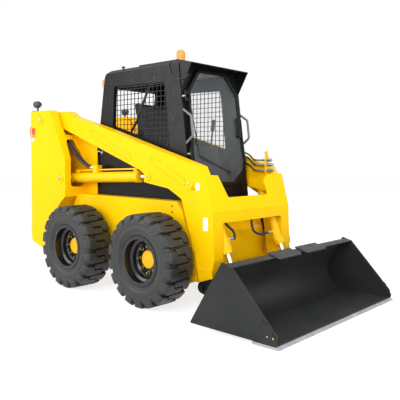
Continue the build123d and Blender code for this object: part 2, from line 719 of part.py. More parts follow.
with BuildPart() as bucket:
    with BuildSketch(upright(-bucket_half + wing_plate - 1)):
        add(wrapper_section.sketch)
    extrude(amount=-2 * (bucket_half - wing_plate + 1))
    for side in (1, -1):
        # side plate, the strip inside its front edge and the side cutter outside
        with BuildSketch(upright(side * (bucket_half - wing_plate))):
            Polygon(floor_front, lip_corner, bucket_top_front, bucket_top_rear, heel, align=None)
            fillet(vertices().sort_by(Axis.X)[:2], 10)
        extrude(amount=-side * wing_plate)
        with BuildSketch(upright(side * (bucket_half - wing_plate - 5))):
            Polygon(lip_corner, bucket_top_front, off_line(bucket_top_front, lip_corner, 10, -38),
                    (lip_corner[0] - 30, 62), (lip_corner[0] - 1, 62), align=None)
        extrude(amount=-side * 6)
        with BuildSketch(upright(side * (bucket_half - 1))):
            Polygon((1649, 189), (1651, floor_front[1] + 0.3), (1772, floor_front[1] + 0.3),
                    (1780, 50), (1718, 152), align=None)
        extrude(amount=-side * 7)
        # flat back plate's stiffening ribs
        for rib_y in (back_plate_half - 6, 300):
            with BuildSketch(upright(side * rib_y - 6)):
                Polygon(behind(6, 0), behind(340, 0), behind(340, -30), (1290, 40),
                        off_line(heel, floor_front, 330, 0), off_line(heel, floor_front, 6, 0),
                        align=None)
                add(bucket_inside.sketch, mode=Mode.SUBTRACT)
            extrude(amount=-12)
        # step plate on the top flange, with its two gussets
        on_flange = Plane(origin=(bucket_top_rear[0], side * step_middle, bucket_top_rear[1]),
                          x_dir=(cos(top_lean), 0, sin(top_lean)), z_dir=(-sin(top_lean), 0, cos(top_lean)))
        with BuildSketch(on_flange.offset(-1)):
            with Locations((75, 0)):
                RectangleRounded(130, 2 * step_half_width, 8)
        extrude(amount=9)
        for gusset_y in (step_middle - step_half_width + 30, step_middle + step_half_width - 30):
            with BuildSketch(upright(side * gusset_y - 4)):
                Polygon(off_line(bucket_top_rear, bucket_top_front, 138, 1),
                        off_line(bucket_top_rear, bucket_top_front, 40, 1),
                        behind(back_length - 95, -4), align=None)
                add(wrapper_section.sketch, mode=Mode.SUBTRACT)
            extrude(amount=-8)
    with BuildSketch(upright(-back_plate_half)):
        Polygon(behind(4, 0), behind(372, 0), behind(372, -bucket_plate), behind(4, -bucket_plate),
                align=None)
    extrude(amount=-2 * back_plate_half)
bucket.part.label = "bucket_shell"
export_step(bucket.part, "parts/bucket_shell.step")

with BuildPart() as edge:
    with BuildSketch(upright(-bucket_half - 6)):
        Polygon(
            (edge_tip[0] - edge_depth, floor_front[1] - 0.3), (floor_front[0], floor_front[1] - 0.3),
            edge_tip, (edge_tip[0] - 3, floor_front[1] - edge_plate),
            (edge_tip[0] - edge_depth, floor_front[1] - edge_plate), align=None,
        )
    extrude(amount=-2 * (bucket_half + 6))
edge.part.label = "cutting_edge"
export_step(edge.part, "parts/cutting_edge.step")

# coupler plate with its ears, behind the bucket's back
ear_plates = (
    # inner face, thickness
    (tilt_y - tilt_rod_radius - 2 - side_gap - 14, 14.0),
    (arm_inner - side_gap - 14, 14.0),
    (arm_outer + side_gap, 16.0),
)
with BuildPart() as coupler:
    with BuildSketch(upright(-arm_outer - 28)):
        Polygon(behind(70, 0.3), behind(505, 0.3), behind(505, 16), behind(70, 16), align=None)
    extrude(amount=-2 * arm_outer - 56)
    with BuildSketch(Plane.YZ.offset(800)):
        with Locations((0, 255)):
            RectangleRounded(560, 240, 40)
    extrude(amount=600, mode=Mode.SUBTRACT)
    for side in (1, -1):
        for inner_face, thickness in ear_plates:
            with BuildSketch(upright(side * inner_face)):
                with Locations(bucket_hinge):
                    Circle(50)
                if inner_face < arm_inner:
                    with Locations(tilt_eye):
                        Circle(40)
                Polygon(behind(90, 10), behind(400, 10), behind(440, 10), behind(90, 12), align=None)
                make_hull()
            extrude(amount=-side * thickness)
        with BuildSketch(upright(side * (arm_inner - side_gap - 14))):
            with Locations(bucket_hinge):
                Circle(27)
        extrude(amount=-side * (arm_outer - arm_inner + 2 * side_gap + 30 + 24))
coupler.part.label = "coupler"
export_step(coupler.part, "parts/coupler.step")

# ---------------------------------------------------------------- cab
door_plane = Plane(origin=(door_foot_x, 0, shelf_z), x_dir=(0, 1, 0), z_dir=(1, 0, door_lean))
glass_half = cab_half - 58
glass_edge = (
    # in from the widest point, height up the front
    (179, 159), (16, 278), (0, 372), (26, 807), (34, 1010), (182, 1195),
)
glass_outline = [(glass_half - inset, height) for inset, height in glass_edge]
glass_outline += [(-y, height) for y, height in reversed(glass_outline)]
window = [(-628, 1630), (216, 1389), (134, 2028), (-610, 2042)]
roof_front = (door_x(cab_roof_z), cab_roof_z)
with BuildPart() as cab:
    with BuildSketch(upright(-cab_half)):
        with BuildLine():
            foot = ((door_foot_x, shelf_z + 0.3), (-860, shelf_z + 0.3), (-842, 1653))
            Polyline(*foot)
            FilletPolyline(foot[2], (-753, cab_roof_z), roof_front, foot[0], radius=(110, 25))
        make_face()
    extrude(amount=-2 * cab_half)
    with BuildSketch(Plane.YZ.offset(cab_rear_x - 50)):
        Polygon(
            (-cab_half, shelf_z), (cab_half, shelf_z), (cab_half, cab_roof_z - roof_bevel),
            (cab_half - roof_bevel, cab_roof_z), (roof_bevel - cab_half, cab_roof_z),
            (-cab_half, cab_roof_z - roof_bevel), align=None,
        )
    extrude(amount=1600, mode=Mode.INTERSECT)
    with BuildSketch(upright(-cab_half + cab_wall)):
        with BuildLine():
            Polyline(
                (door_x(960) - cab_wall, 960), (-820, 960), (-806, 1653), (-735, 2120),
                (-690, cab_roof_z - cab_wall), (roof_front[0] - cab_wall, cab_roof_z - cab_wall),
                close=True,
            )
        make_face()
    extrude(amount=-2 * (cab_half - cab_wall), mode=Mode.SUBTRACT)
    # side windows
    with BuildSketch(upright(-cab_half - 10)):
        Polygon(*window, align=None)
        fillet(vertices(), 24)
    extrude(amount=-2 * (cab_half + 10), mode=Mode.SUBTRACT)
    # rear window
    with BuildSketch(Plane.YZ.offset(-900)):
        with Locations((0, 1800)):
            RectangleRounded(620, 480, 24)
    extrude(amount=200, mode=Mode.SUBTRACT)
    # doorway
    with BuildSketch(door_plane.offset(-80)):
        Polygon(*glass_outline, align=None)
        offset(amount=14, kind=Kind.INTERSECTION, mode=Mode.REPLACE)
    extrude(amount=120, mode=Mode.SUBTRACT)
    # raised roof panel
    with BuildSketch(Plane.XY.offset(cab_roof_z)):
        with Locations((-40, 0)):
            RectangleRounded(560, 700, 20)
    extrude(amount=roof_panel)
cab.part.label = "cab_frame"
export_step(cab.part, "parts/cab_frame.step")

with BuildPart() as visor:
    with BuildSketch(upright(-cab_half + 8)):
        Polygon((roof_front[0] + 4, cab_roof_z - 4), (468, 2178), (468, 2168),
                (roof_front[0] + 6, cab_roof_z - 16), align=None)
    extrude(amount=-2 * (cab_half - 8))
    for side in (1, -1):
        with BuildSketch(upright(side * (cab_half - 16))):
            Polygon((door_x(2198) + 0.3, 2198), (468, 2172), (door_x(1955) + 0.3, 1955),
                    align=None)
        extrude(amount=-side * 8)
visor.part.label = "visor"
export_step(visor.part, "parts/visor.step")

# welded bar grilles in the side and rear windows
bar = 6.0
bar_pitch = (54.0, 50.0)
bar_count = (17, 15)
with BuildSketch() as grille_border:
    Polygon(*window, align=None)
    offset(amount=-0.3, kind=Kind.INTERSECTION, mode=Mode.REPLACE)
    fillet(vertices(), 24)
    offset(amount=-14, kind=Kind.INTERSECTION, mode=Mode.SUBTRACT)
with BuildSketch() as grille_bars:
    with Locations((-210, 1700)):
        with GridLocations(bar_pitch[0], 0, bar_count[0], 1):
            Rectangle(bar, 760)
        with GridLocations(0, bar_pitch[1], 1, bar_count[1]):
            Rectangle(900, bar)
    with BuildSketch(mode=Mode.INTERSECT):
        Polygon(*window, align=None)
        offset(amount=-8, kind=Kind.INTERSECTION, mode=Mode.REPLACE)
        fillet(vertices(), 20)
with BuildPart() as grilles:
    for side in (1, -1):
        with BuildSketch(upright(side * (cab_half - cab_wall + 8))):
            add(grille_border.sketch)
            add(grille_bars.sketch)
        extrude(amount=-side * bar)
grilles.part.label = "window_grilles"
export_step(grilles.part, "parts/window_grilles.step")

# ---------------------------------------------------------------- cab door
door_gap = 5.0               # between the closed door and the cab's face
frame_border = 30.0
hinge_line = (-(glass_half + frame_border + 9), door_gap + door_thickness)
knuckle_radius = 9.0
hinge_heights = (430.0, 960.0)
rear_hinge = (tower_rear_x - 14, -tub_half)
rear_hinge_heights = (560.0, 1240.0)
with BuildPart() as door:
    with BuildSketch(door_plane.offset(door_gap)):
        Polygon(*glass_outline, align=None)
        offset(amount=frame_border, kind=Kind.INTERSECTION, mode=Mode.REPLACE)
        fillet(vertices(), 12)
        Polygon(*glass_outline, align=None, mode=Mode.SUBTRACT)
    extrude(amount=door_thickness)
    with BuildSketch(door_plane.offset(door_gap + 12)):
        Polygon(*glass_outline, align=None)
        offset(amount=10, kind=Kind.INTERSECTION, mode=Mode.REPLACE)
    extrude(amount=glass_thickness, mode=Mode.SUBTRACT)
    # hinge knuckles and their leaves
    for height in hinge_heights:
        for step in (-32.4, 32.4):
            knuckle = Plane(
                origin=door_plane.from_local_coords((hinge_line[0], height + step - 15, hinge_line[1])),
                z_dir=door_plane.y_dir,
            )
            with BuildSketch(knuckle):
                Circle(knuckle_radius)
            extrude(amount=30)
            with BuildSketch(door_plane.offset(door_gap + door_thickness - 8)):
                with Locations((hinge_line[0] + 22, height + step)):
                    Rectangle(44, 30)
            extrude(amount=8)
    # latch box and inner handle on the free side
    with BuildSketch(door_plane.offset(door_gap + 6)):
        with Locations((glass_half - 44, 690)):
            RectangleRounded(70, 190, 20)
    extrude(amount=door_thickness + 14)
door.part.label = "cab_door"
export_step(door.part, "parts/cab_door.step")

with BuildPart() as glass:
    with BuildSketch(door_plane.offset(door_gap + 12)):
        Polygon(*glass_outline, align=None)
        offset(amount=10, kind=Kind.INTERSECTION, mode=Mode.REPLACE)
    extrude(amount=glass_thickness)
    with BuildSketch(door_plane.offset(door_gap)):
        with Locations((glass_half - 44, 690)):
            RectangleRounded(70.6, 190.6, 20)
    extrude(amount=door_thickness, mode=Mode.SUBTRACT)
glass.part.label = "door_glass"
export_step(glass.part, "parts/door_glass.step")

# hinge halves on the cab, and the two grab handles
handle_radius = 11.0
with BuildPart() as handles:
    for side in (1, -1):
        rail = Plane(
            origin=door_plane.from_local_coords((side * (cab_half - handle_radius), 0, 0)),
            x_dir=door_plane.z_dir, z_dir=(0, -1, 0),
        )
        with BuildLine(rail) as route:
            FilletPolyline((-8, 530), (88, 585), (88, 765), (-8, 845), radius=32)
        with BuildSketch(Plane(origin=route.line @ 0, z_dir=route.line % 0)):
            Circle(handle_radius)
        sweep(path=route.line)
    split(bisect_by=door_plane.offset(0.2), keep=Keep.TOP)
handles.part.label = "grab_handles"
export_step(handles.part, "parts/grab_handles.step")

with BuildPart() as leaves:
    for height in hinge_heights:
        middle = Plane(
            origin=door_plane.from_local_coords((hinge_line[0], height - 17, hinge_line[1])),
            z_dir=door_plane.y_dir,
        )
        with BuildSketch(middle):
            Circle(knuckle_radius)
        extrude(amount=34)
        with BuildSketch(door_plane.offset(0.2)):
            with Locations((hinge_line[0] - 4, height)):
                Rectangle(8, 34)
        extrude(amount=hinge_line[1])
    for height in rear_hinge_heights:
        with BuildSketch(Plane.XY.offset(height - 20)):
            with Locations(rear_hinge):
                Circle(12)
            with Locations((rear_hinge[0] + 7, rear_hinge[1] - 20)):
                Rectangle(13.4, 50)
        extrude(amount=40)
leaves.part.label = "hinge_leaves"
export_step(leaves.part, "parts/hinge_leaves.step")

# ---------------------------------------------------------------- seat and controls
seat_z = 1330.0
console_z = 1430.0
console_inner = cab_half - 162
lever_y = console_inner + 55
with BuildPart() as seat_base:
    with BuildSketch(Plane.XY.offset(960)):
        with Locations((-230, 0)):
            RectangleRounded(460, 480, 20)
    extrude(amount=seat_z - 960)
    for side in (1, -1):
        with BuildSketch(upright(side * console_inner)):
            Polygon((-420, 960), (120, 960), (150, 1300), (120, console_z), (-420, console_z), align=None)
        extrude(amount=-side * 110)
seat_base.part.label = "seat_base"
export_step(seat_base.part, "parts/seat_base.step")

with BuildPart() as cushions:
    with BuildSketch(upright(-235)):
        with BuildLine():
            FilletPolyline((-470, seat_z + 0.3), (10, seat_z + 0.3), (30, seat_z + 120),
                           (-360, seat_z + 105), radius=30)
            FilletPolyline((-360, seat_z + 105), (-430, seat_z + 560), (-530, seat_z + 570),
                           (-470, seat_z + 0.3), radius=25)
        make_face()
    extrude(amount=-470)
cushions.part.label = "seat_cushions"
export_step(cushions.part, "parts/seat_cushions.step")

with BuildPart() as controls:
    for side in (1, -1):
        with BuildSketch(Plane.XY.offset(console_z + 0.3)):
            with Locations((70, side * lever_y)):
                Circle(34)
        extrude(amount=26, taper=30)
        stick = Plane(origin=(70, side * lever_y, console_z + 18), z_dir=(0.22, side * -0.12, 1))
        with BuildSketch(stick):
            Circle(9)
        extrude(amount=200)
        with BuildSketch(stick.offset(160)):
            Circle(22)
        extrude(amount=110, taper=2)
controls.part.label = "controls"
export_step(controls.part, "parts/controls.step")

# ---------------------------------------------------------------- lamps and beacon
beacon_place = (127.0, -200.0)
marker_z = 2056.0
marker_x = -778.2
with BuildPart() as beacon:
    with BuildSketch(Plane.XY.offset(cab_roof_z + roof_panel)):
        with Locations(beacon_place):
            Circle(52)
    extrude(amount=18)
    with BuildSketch(Plane.XY.offset(cab_roof_z + roof_panel + 18)):
        with Locations(beacon_place):
            Circle(42)
    extrude(amount=104)
    fillet(beacon.edges().group_by(Axis.Z)[-1], 34)
beacon.part.label = "beacon"
export_step(beacon.part, "parts/beacon.step")

with BuildPart() as lamps:
    for side in (1, -1):
        # tail lamp on the rear face and marker beside it
        with BuildSketch(Plane.YZ.offset(tower_rear_x)):
            with Locations((side * (tower_outer - 35), 1566)):
                RectangleRounded(52, 200, 16)
        extrude(amount=-33)
        with BuildSketch(upright(side * tower_outer)):
            with Locations((-1706, 1564)):
                RectangleRounded(48, 150, 10)
        extrude(amount=-side * 9)
    # small marker behind the cab's right corner
    with BuildSketch(Plane.XY.offset(marker_z)):
        Polygon((marker_x - 46, -cab_half + 12), (marker_x, -cab_half + 12),
                (marker_x, -cab_half + 54), (marker_x - 46, -cab_half + 54), align=None)
        fillet(vertices(), 8)
    extrude(amount=72)
lamps.part.label = "lamps"
export_step(lamps.part, "parts/lamps.step")

work_lamp_y = tower_outer - 50
with BuildPart() as work_lamps:
    for side in (1, -1):
        # work lamp on a stem over each tower
        with BuildSketch(Plane.YZ.offset(-1735)):
            with Locations((side * work_lamp_y, tower_top_z + 82)):
                Circle(38)
        extrude(amount=50)
        with BuildSketch(Plane.YZ.offset(-1685)):
            with Locations((side * work_lamp_y, tower_top_z + 82)):
                Circle(38)
        extrude(amount=34, taper=24)
        with BuildSketch(Plane.XY.offset(tower_top_z)):
            with Locations((-1700, side * work_lamp_y)):
                Circle(10)
        extrude(amount=60)
        with BuildSketch(Plane.XY.offset(tower_top_z)):
            with Locations((-1700, side * work_lamp_y)):
                RectangleRounded(90, 2 * (tower_outer - work_lamp_y), 12)
        extrude(amount=6)
work_lamps.part.label = "work_lamps"
export_step(work_lamps.part, "parts/work_lamps.step")

# cable of the beacon, down the right side of the cab
cable_y = -cab_half - 5.5
with BuildPart() as cable:
    add(hose([(186, cable_y + 24, cab_roof_z + 1), (190, cable_y - 2, cab_roof_z - 20),
              (198, cable_y, 2148), (218, cable_y, 2100), (264, cable_y, 2056),
              (328, cable_y, 2030), (398, cable_y + 2, 2036), (446, cable_y + 4, 2066)], 5))
cable.part.label = "beacon_cable"
export_step(cable.part, "parts/beacon_cable.step")

# ---------------------------------------------------------------- rear body
with BuildPart() as hood:
    with BuildSketch(upright(-tub_half + tub_plate + 0.3)):
        Polygon(
            (-1745, 1400), (-1690, 1480), (-890, 1570), (-890, 1558), (-1684, 1468),
            (-1733, 1396), align=None,
        )
    extrude(amount=-2 * (tub_half - tub_plate - 0.3))
hood.part.label = "engine_hood"
export_step(hood.part, "parts/engine_hood.step")

with BuildPart() as engine:
    with BuildSketch(Plane.XY.offset(rail_top + 0.3)):
        with Locations((-1290, 0)):
            RectangleRounded(560, 520, 30)
    extrude(amount=820)
engine.part.label = "engine_block"
export_step(engine.part, "parts/engine_block.step")

rear_door_half = tub_half - tub_plate - 5
with BuildPart() as rear_door:
    with BuildSketch(Plane.YZ.offset(tower_rear_x + 44)):
        with Locations((0, 905)):
            RectangleRounded(2 * rear_door_half, 960, 24)
    extrude(amount=-52)
    with BuildSketch(Plane.YZ.offset(tower_rear_x + 36)):
        with GridLocations(0, 60, 1, 9):
            with Locations((0, 1010)):
                SlotOverall(620, 26)
    extrude(amount=-60, mode=Mode.SUBTRACT)
    for height in rear_hinge_heights:
        for step in (-38.4, 38.4):
            with BuildSketch(Plane.XY.offset(height + step - 18)):
                with Locations(rear_hinge):
                    Circle(12)
                with Locations((rear_hinge[0] + 6, -rear_door_half + 20)):
                    Rectangle(10, 70)
            extrude(amount=36)
rear_door.part.label = "rear_door"
export_step(rear_door.part, "parts/rear_door.step")
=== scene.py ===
"""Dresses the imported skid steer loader: finishes, tyres, trim, seat and studio."""
import json
import math

import bpy
from mathutils import Matrix, Vector


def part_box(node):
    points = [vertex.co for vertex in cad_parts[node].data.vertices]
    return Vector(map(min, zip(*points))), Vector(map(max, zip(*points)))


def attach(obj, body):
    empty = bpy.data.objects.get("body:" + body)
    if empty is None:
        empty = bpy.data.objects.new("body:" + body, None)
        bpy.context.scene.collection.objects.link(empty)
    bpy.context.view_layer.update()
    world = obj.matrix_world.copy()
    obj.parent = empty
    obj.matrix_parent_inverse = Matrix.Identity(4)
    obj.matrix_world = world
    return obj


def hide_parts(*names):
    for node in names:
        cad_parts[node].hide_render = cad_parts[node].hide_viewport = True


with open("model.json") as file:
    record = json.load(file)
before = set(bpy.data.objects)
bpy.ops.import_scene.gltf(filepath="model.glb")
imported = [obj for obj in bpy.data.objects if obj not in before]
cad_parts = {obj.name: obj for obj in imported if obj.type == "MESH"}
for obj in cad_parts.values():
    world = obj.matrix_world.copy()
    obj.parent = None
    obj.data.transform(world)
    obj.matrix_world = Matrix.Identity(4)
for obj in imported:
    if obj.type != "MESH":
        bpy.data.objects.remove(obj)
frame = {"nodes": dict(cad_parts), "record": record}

bl_info = {
    "name": "Skid Steer Loader Dressing",
    "version": (1, 0, 0),
    "blender": (4, 5, 0),
    "location": "3D View > Sidebar > Loader",
    "description": "Finishes, tyres, trim and studio for the skid steer loader",
    "category": "Object",
}

NODES = frame["nodes"]
OUTSIDE = 2.0         # a place clear of the machine, from which its faces are sought
LENS_MM = 49.51
SENSOR_MM = 36.0
LENS_SHIFT = (0.0005, -0.0305)
AXLES = {
    name: ((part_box(f"tyre_{name}")[0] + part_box(f"tyre_{name}")[1]) / 2)
    for name in ("front_left", "front_right", "rear_left", "rear_right")
}


# ---------------------------------------------------------------- sizes and colours
class LoaderPaint(bpy.types.PropertyGroup):
    body_yellow: bpy.props.FloatVectorProperty(
        name="Body yellow", description="Enamel on the body, towers and arms",
        subtype="COLOR", size=3, min=0, max=1, default=(0.97, 0.575, 0.001))
    cab_black: bpy.props.FloatVectorProperty(
        name="Cab black", description="Satin paint on the cab and its door",
        subtype="COLOR", size=3, min=0, max=1, default=(0.0065, 0.0068, 0.0072))
    bucket_black: bpy.props.FloatVectorProperty(
        name="Bucket black", description="Paint on the bucket and its coupler",
        subtype="COLOR", size=3, min=0, max=1, default=(0.019, 0.020, 0.020))
    edge_steel: bpy.props.FloatVectorProperty(
        name="Edge steel", description="Bare cutting edge",
        subtype="COLOR", size=3, min=0, max=1, default=(0.50, 0.51, 0.53))
    tyre_rubber: bpy.props.FloatVectorProperty(
        name="Tyre rubber", description="Tread and sidewalls",
        subtype="COLOR", size=3, min=0, max=1, default=(0.017, 0.018, 0.018))
    hub_orange: bpy.props.FloatVectorProperty(
        name="Hub orange", description="Hub caps",
        subtype="COLOR", size=3, min=0, max=1, default=(0.93, 0.50, 0.012))
    chrome: bpy.props.FloatVectorProperty(
        name="Chrome", description="Cylinder rods and bright fittings",
        subtype="COLOR", size=3, min=0, max=1, default=(0.78, 0.79, 0.80))


class LoaderTyre(bpy.types.PropertyGroup):
    lug_height: bpy.props.FloatProperty(
        name="Lug height", description="How far the lugs stand above the carcass",
        unit="LENGTH", default=0.027, min=0.005, max=0.05)
    lugs_per_row: bpy.props.IntProperty(
        name="Lugs a row", description="Lugs round each shoulder of a tyre",
        default=18, min=8, max=30)
    rim_radius: bpy.props.FloatProperty(
        name="Rim radius", description="Radius on which the bead sits",
        unit="LENGTH", default=0.2225, min=0.1, max=0.4)


class LoaderStudio(bpy.types.PropertyGroup):
    azimuth: bpy.props.FloatProperty(
        name="Camera azimuth", description="Turn of the camera round the loader",
        subtype="ANGLE", default=math.radians(42.30))
    elevation: bpy.props.FloatProperty(
        name="Camera elevation", description="Height angle of the camera",
        subtype="ANGLE", default=math.radians(3.14))
    distance: bpy.props.FloatProperty(
        name="Camera distance", description="From the camera to its target",
        unit="LENGTH", default=5.463)
    target: bpy.props.FloatVectorProperty(
        name="Camera target", description="Point the camera looks at",
        subtype="TRANSLATION", size=3, default=(0.202, 0.0, 1.021))
    roll: bpy.props.FloatProperty(
        name="Camera roll", description="Turn of the picture about its middle",
        subtype="ANGLE", default=math.radians(0.35))
    key_power: bpy.props.FloatProperty(
        name="Key light", description="Power of the large front light",
        default=308.0, min=0)


# ---------------------------------------------------------------- finishes
def add_node(tree, kind, **inputs):
    """A node of that kind with its named inputs set."""
    node = tree.nodes.new(kind)
    for name, value in inputs.items():
        node.inputs[name.replace("_", " ")].default_value = value
    return node


def object_noise(tree, scale, detail=3.0, stretch=(1, 1, 1)):
    """Noise over the piece's own place, stretched along an axis where wanted."""
    place = tree.nodes.new("ShaderNodeTexCoord")
    mapping = tree.nodes.new("ShaderNodeMapping")
    mapping.inputs["Scale"].default_value = stretch
    noise = add_node(tree, "ShaderNodeTexNoise", Scale=scale, Detail=detail)
    tree.links.new(place.outputs["Object"], mapping.inputs["Vector"])
    tree.links.new(mapping.outputs["Vector"], noise.inputs["Vector"])
    return noise.outputs["Fac"]


def ranged(tree, value, low, high, start=0.3, end=0.7):
    """The value spread from low to high."""
    node = tree.nodes.new("ShaderNodeMapRange")
    for name, number in (("From Min", start), ("From Max", end), ("To Min", low), ("To Max", high)):
        node.inputs[name].default_value = number
    tree.links.new(value, node.inputs["Value"])
    return node.outputs["Result"]


def mixed(tree, factor, first, second):
    """Colour between two, each a colour or a socket."""
    node = tree.nodes.new("ShaderNodeMix")
    node.data_type = "RGBA"
    for name, colour in (("A", first), ("B", second)):
        socket = next(s for s in node.inputs if s.name == name and s.type == "RGBA")
        if isinstance(colour, bpy.types.NodeSocket):
            tree.links.new(colour, socket)
        else:
            socket.default_value = (*colour, 1.0)
    tree.links.new(factor, node.inputs[0])
    return next(s for s in node.outputs if s.type == "RGBA")


def finish(name, colour, second=None, patch=2.2, rough=(0.3, 0.42), grain=180.0, bump=0.02,
           metallic=0.0, coat=0.0, specular=0.5, stretch=(1, 1, 1), scuff=None, scuff_from=0.62):
    """A finish with mottled colour, uneven gloss, a fine grain and, where given, scuffs."""
    material = bpy.data.materials.new(name)
    material.use_nodes = True
    tree = material.node_tree
    shader = next(n for n in tree.nodes if n.type == "BSDF_PRINCIPLED")
    second = second or tuple(c * 0.82 for c in colour)
    patches = object_noise(tree, patch, 4.0, stretch)
    base = mixed(tree, ranged(tree, patches, 0.0, 1.0), colour, second)
    if scuff:
        marks = object_noise(tree, patch * 9, 8.0, stretch)
        worn = ranged(tree, marks, 0.0, 0.8, scuff_from, scuff_from + 0.12)
        base = mixed(tree, worn, base, scuff)
    tree.links.new(base, shader.inputs["Base Color"])
    gloss = object_noise(tree, patch * 5, 5.0, stretch)
    tree.links.new(ranged(tree, gloss, *rough), shader.inputs["Roughness"])
    fine = object_noise(tree, grain, 2.0, stretch)
    relief = add_node(tree, "ShaderNodeBump", Strength=bump * 10, Distance=0.001)
    tree.links.new(fine, relief.inputs["Height"])
    tree.links.new(relief.outputs["Normal"], shader.inputs["Normal"])
    shader.inputs["Metallic"].default_value = metallic
    shader.inputs["Coat Weight"].default_value = coat
    shader.inputs["Coat Roughness"].default_value = 0.12
    shader.inputs["Specular IOR Level"].default_value = specular
    return material


def clear_glass(name, tint, alpha):
    """Thin glass that lets light straight through and still mirrors a little."""
    material = finish(name, tint, patch=1.2, rough=(0.03, 0.07), bump=0.0)
    shader = next(n for n in material.node_tree.nodes if n.type == "BSDF_PRINCIPLED")
    shader.inputs["Alpha"].default_value = alpha
    shader.inputs["Coat Weight"].default_value = 0.15
    return material


def banded_lens(name, bands):
    """Moulded lens whose colour changes with height; bands are (top of band, colour)."""
    material = finish(name, bands[0][1], patch=30.0, rough=(0.12, 0.2), grain=500.0, bump=0.04,
                      coat=0.4)
    tree = material.node_tree
    shader = next(n for n in tree.nodes if n.type == "BSDF_PRINCIPLED")
    place = tree.nodes.new("ShaderNodeTexCoord")
    split = tree.nodes.new("ShaderNodeSeparateXYZ")
    tree.links.new(place.outputs["Object"], split.inputs[0])
    shade = object_noise(tree, 60.0, 2.0)
    colour = bands[0][1]
    for (edge, _), (_, above) in zip(bands, bands[1:]):
        step = tree.nodes.new("ShaderNodeMath")
        step.operation = "GREATER_THAN"
        step.inputs[1].default_value = edge
        tree.links.new(split.outputs["Z"], step.inputs[0])
        colour = mixed(tree, step.outputs[0], colour, above)
    dark = mixed(tree, ranged(tree, shade, 0.0, 0.12), colour, (0.2, 0.02, 0.01))
    tree.links.new(dark, shader.inputs["Base Color"])
    return material


def make_finishes(paint):
    """Every finish by name."""
    yellow, black = tuple(paint.body_yellow), tuple(paint.cab_black)
    steel = tuple(paint.edge_steel)
    return {
        "yellow": finish("Body Enamel", yellow, (0.95, 0.535, 0.001), 1.4, (0.3, 0.42),
                         bump=0.012, specular=0.07),
        "yellow_cast": finish("Cylinder Enamel", yellow, (0.93, 0.51, 0.002), 6.0, (0.3, 0.42),
                              bump=0.03, grain=90, specular=0.18),
        "cab": finish("Cab Satin", black, (0.009, 0.0093, 0.010), 2.0, (0.2, 0.32),
                      bump=0.015, grain=260, specular=0.14),
        "bucket": finish("Bucket Satin", tuple(paint.bucket_black), (0.026, 0.027, 0.027), 3.0,
                         (0.34, 0.5), bump=0.02, grain=120, specular=0.17,
                         scuff=(0.034, 0.034, 0.034)),
        "edge": finish("Edge Steel", steel, (0.34, 0.345, 0.36), 3.0, (0.32, 0.5),
                       metallic=0.85, bump=0.05, grain=60, stretch=(1, 6, 1),
                       scuff=(0.20, 0.19, 0.18)),
        "chrome": finish("Rod Chrome", tuple(paint.chrome), (0.68, 0.69, 0.71), 4.0, (0.08, 0.16),
                         metallic=1.0, bump=0.004),
        "fitting": finish("Zinc Fitting", (0.62, 0.63, 0.64), (0.45, 0.46, 0.47), 20.0,
                          (0.25, 0.4), metallic=0.9, bump=0.02),
        "rubber": finish("Tyre Rubber", tuple(paint.tyre_rubber), (0.026, 0.027, 0.026), 5.0,
                         (0.38, 0.55), bump=0.08, grain=70, specular=0.42,
                         scuff=(0.050, 0.050, 0.046)),
        "rim": finish("Rim Gloss", (0.006, 0.006, 0.007), (0.010, 0.010, 0.011), 6.0,
                      (0.16, 0.26), bump=0.004),
        "hub": finish("Hub Cap Enamel", tuple(paint.hub_orange), (0.86, 0.43, 0.010), 12.0,
                      (0.3, 0.42), bump=0.03, specular=0.2),
        "stud": finish("Yellow Zinc Stud", (0.72, 0.52, 0.16), (0.45, 0.30, 0.08), 30.0,
                       (0.28, 0.42), metallic=0.7, bump=0.03),
        "glass": clear_glass("Door Glass", (0.30, 0.33, 0.34), 0.13),
        "plastic": finish("Moulded Plastic", (0.022, 0.022, 0.024), (0.034, 0.034, 0.036), 5.0,
                          (0.45, 0.6), bump=0.10, grain=420),
        "panel": finish("Cab Lining", (0.36, 0.38, 0.38), (0.30, 0.32, 0.32), 4.0, (0.5, 0.65),
                        bump=0.06, grain=240),
        "vinyl": finish("Seat Vinyl", (0.020, 0.020, 0.022), (0.032, 0.032, 0.034), 7.0,
                        (0.42, 0.58), bump=0.16, grain=330),
        "amber": clear_glass("Amber Lens", (1.0, 0.36, 0.01), 0.93),
        "lens": banded_lens("Lamp Lens", (
            (1.530, (0.80, 0.80, 0.78)), (1.572, (0.92, 0.26, 0.01)), (1.70, (0.70, 0.02, 0.01)),
            (9.0, (0.95, 0.30, 0.01)))),
        "lamp_case": finish("Work Lamp Case", (0.045, 0.047, 0.050), (0.030, 0.031, 0.033), 9.0,
                            (0.35, 0.5), bump=0.06, grain=200),
        "cast": finish("Engine Grey", (0.10, 0.10, 0.105), (0.07, 0.07, 0.075), 6.0, (0.5, 0.7),
                       bump=0.15, grain=60),
        "hose": finish("Hose Rubber", (0.016, 0.016, 0.018), (0.026, 0.026, 0.028), 9.0,
                       (0.42, 0.55), bump=0.08, grain=300),
        "handle": finish("Handle Grey", (0.16, 0.165, 0.17), (0.11, 0.115, 0.12), 8.0,
                         (0.35, 0.5), bump=0.03),
        "mirror_black": finish("Trim Black", (0.012, 0.012, 0.013), (0.02, 0.02, 0.021), 8.0,
                               (0.25, 0.38), bump=0.02),
        "white": finish("Blank Plate", (0.86, 0.86, 0.85), (0.78, 0.78, 0.77), 25.0, (0.3, 0.4),
                        bump=0.01),
    }


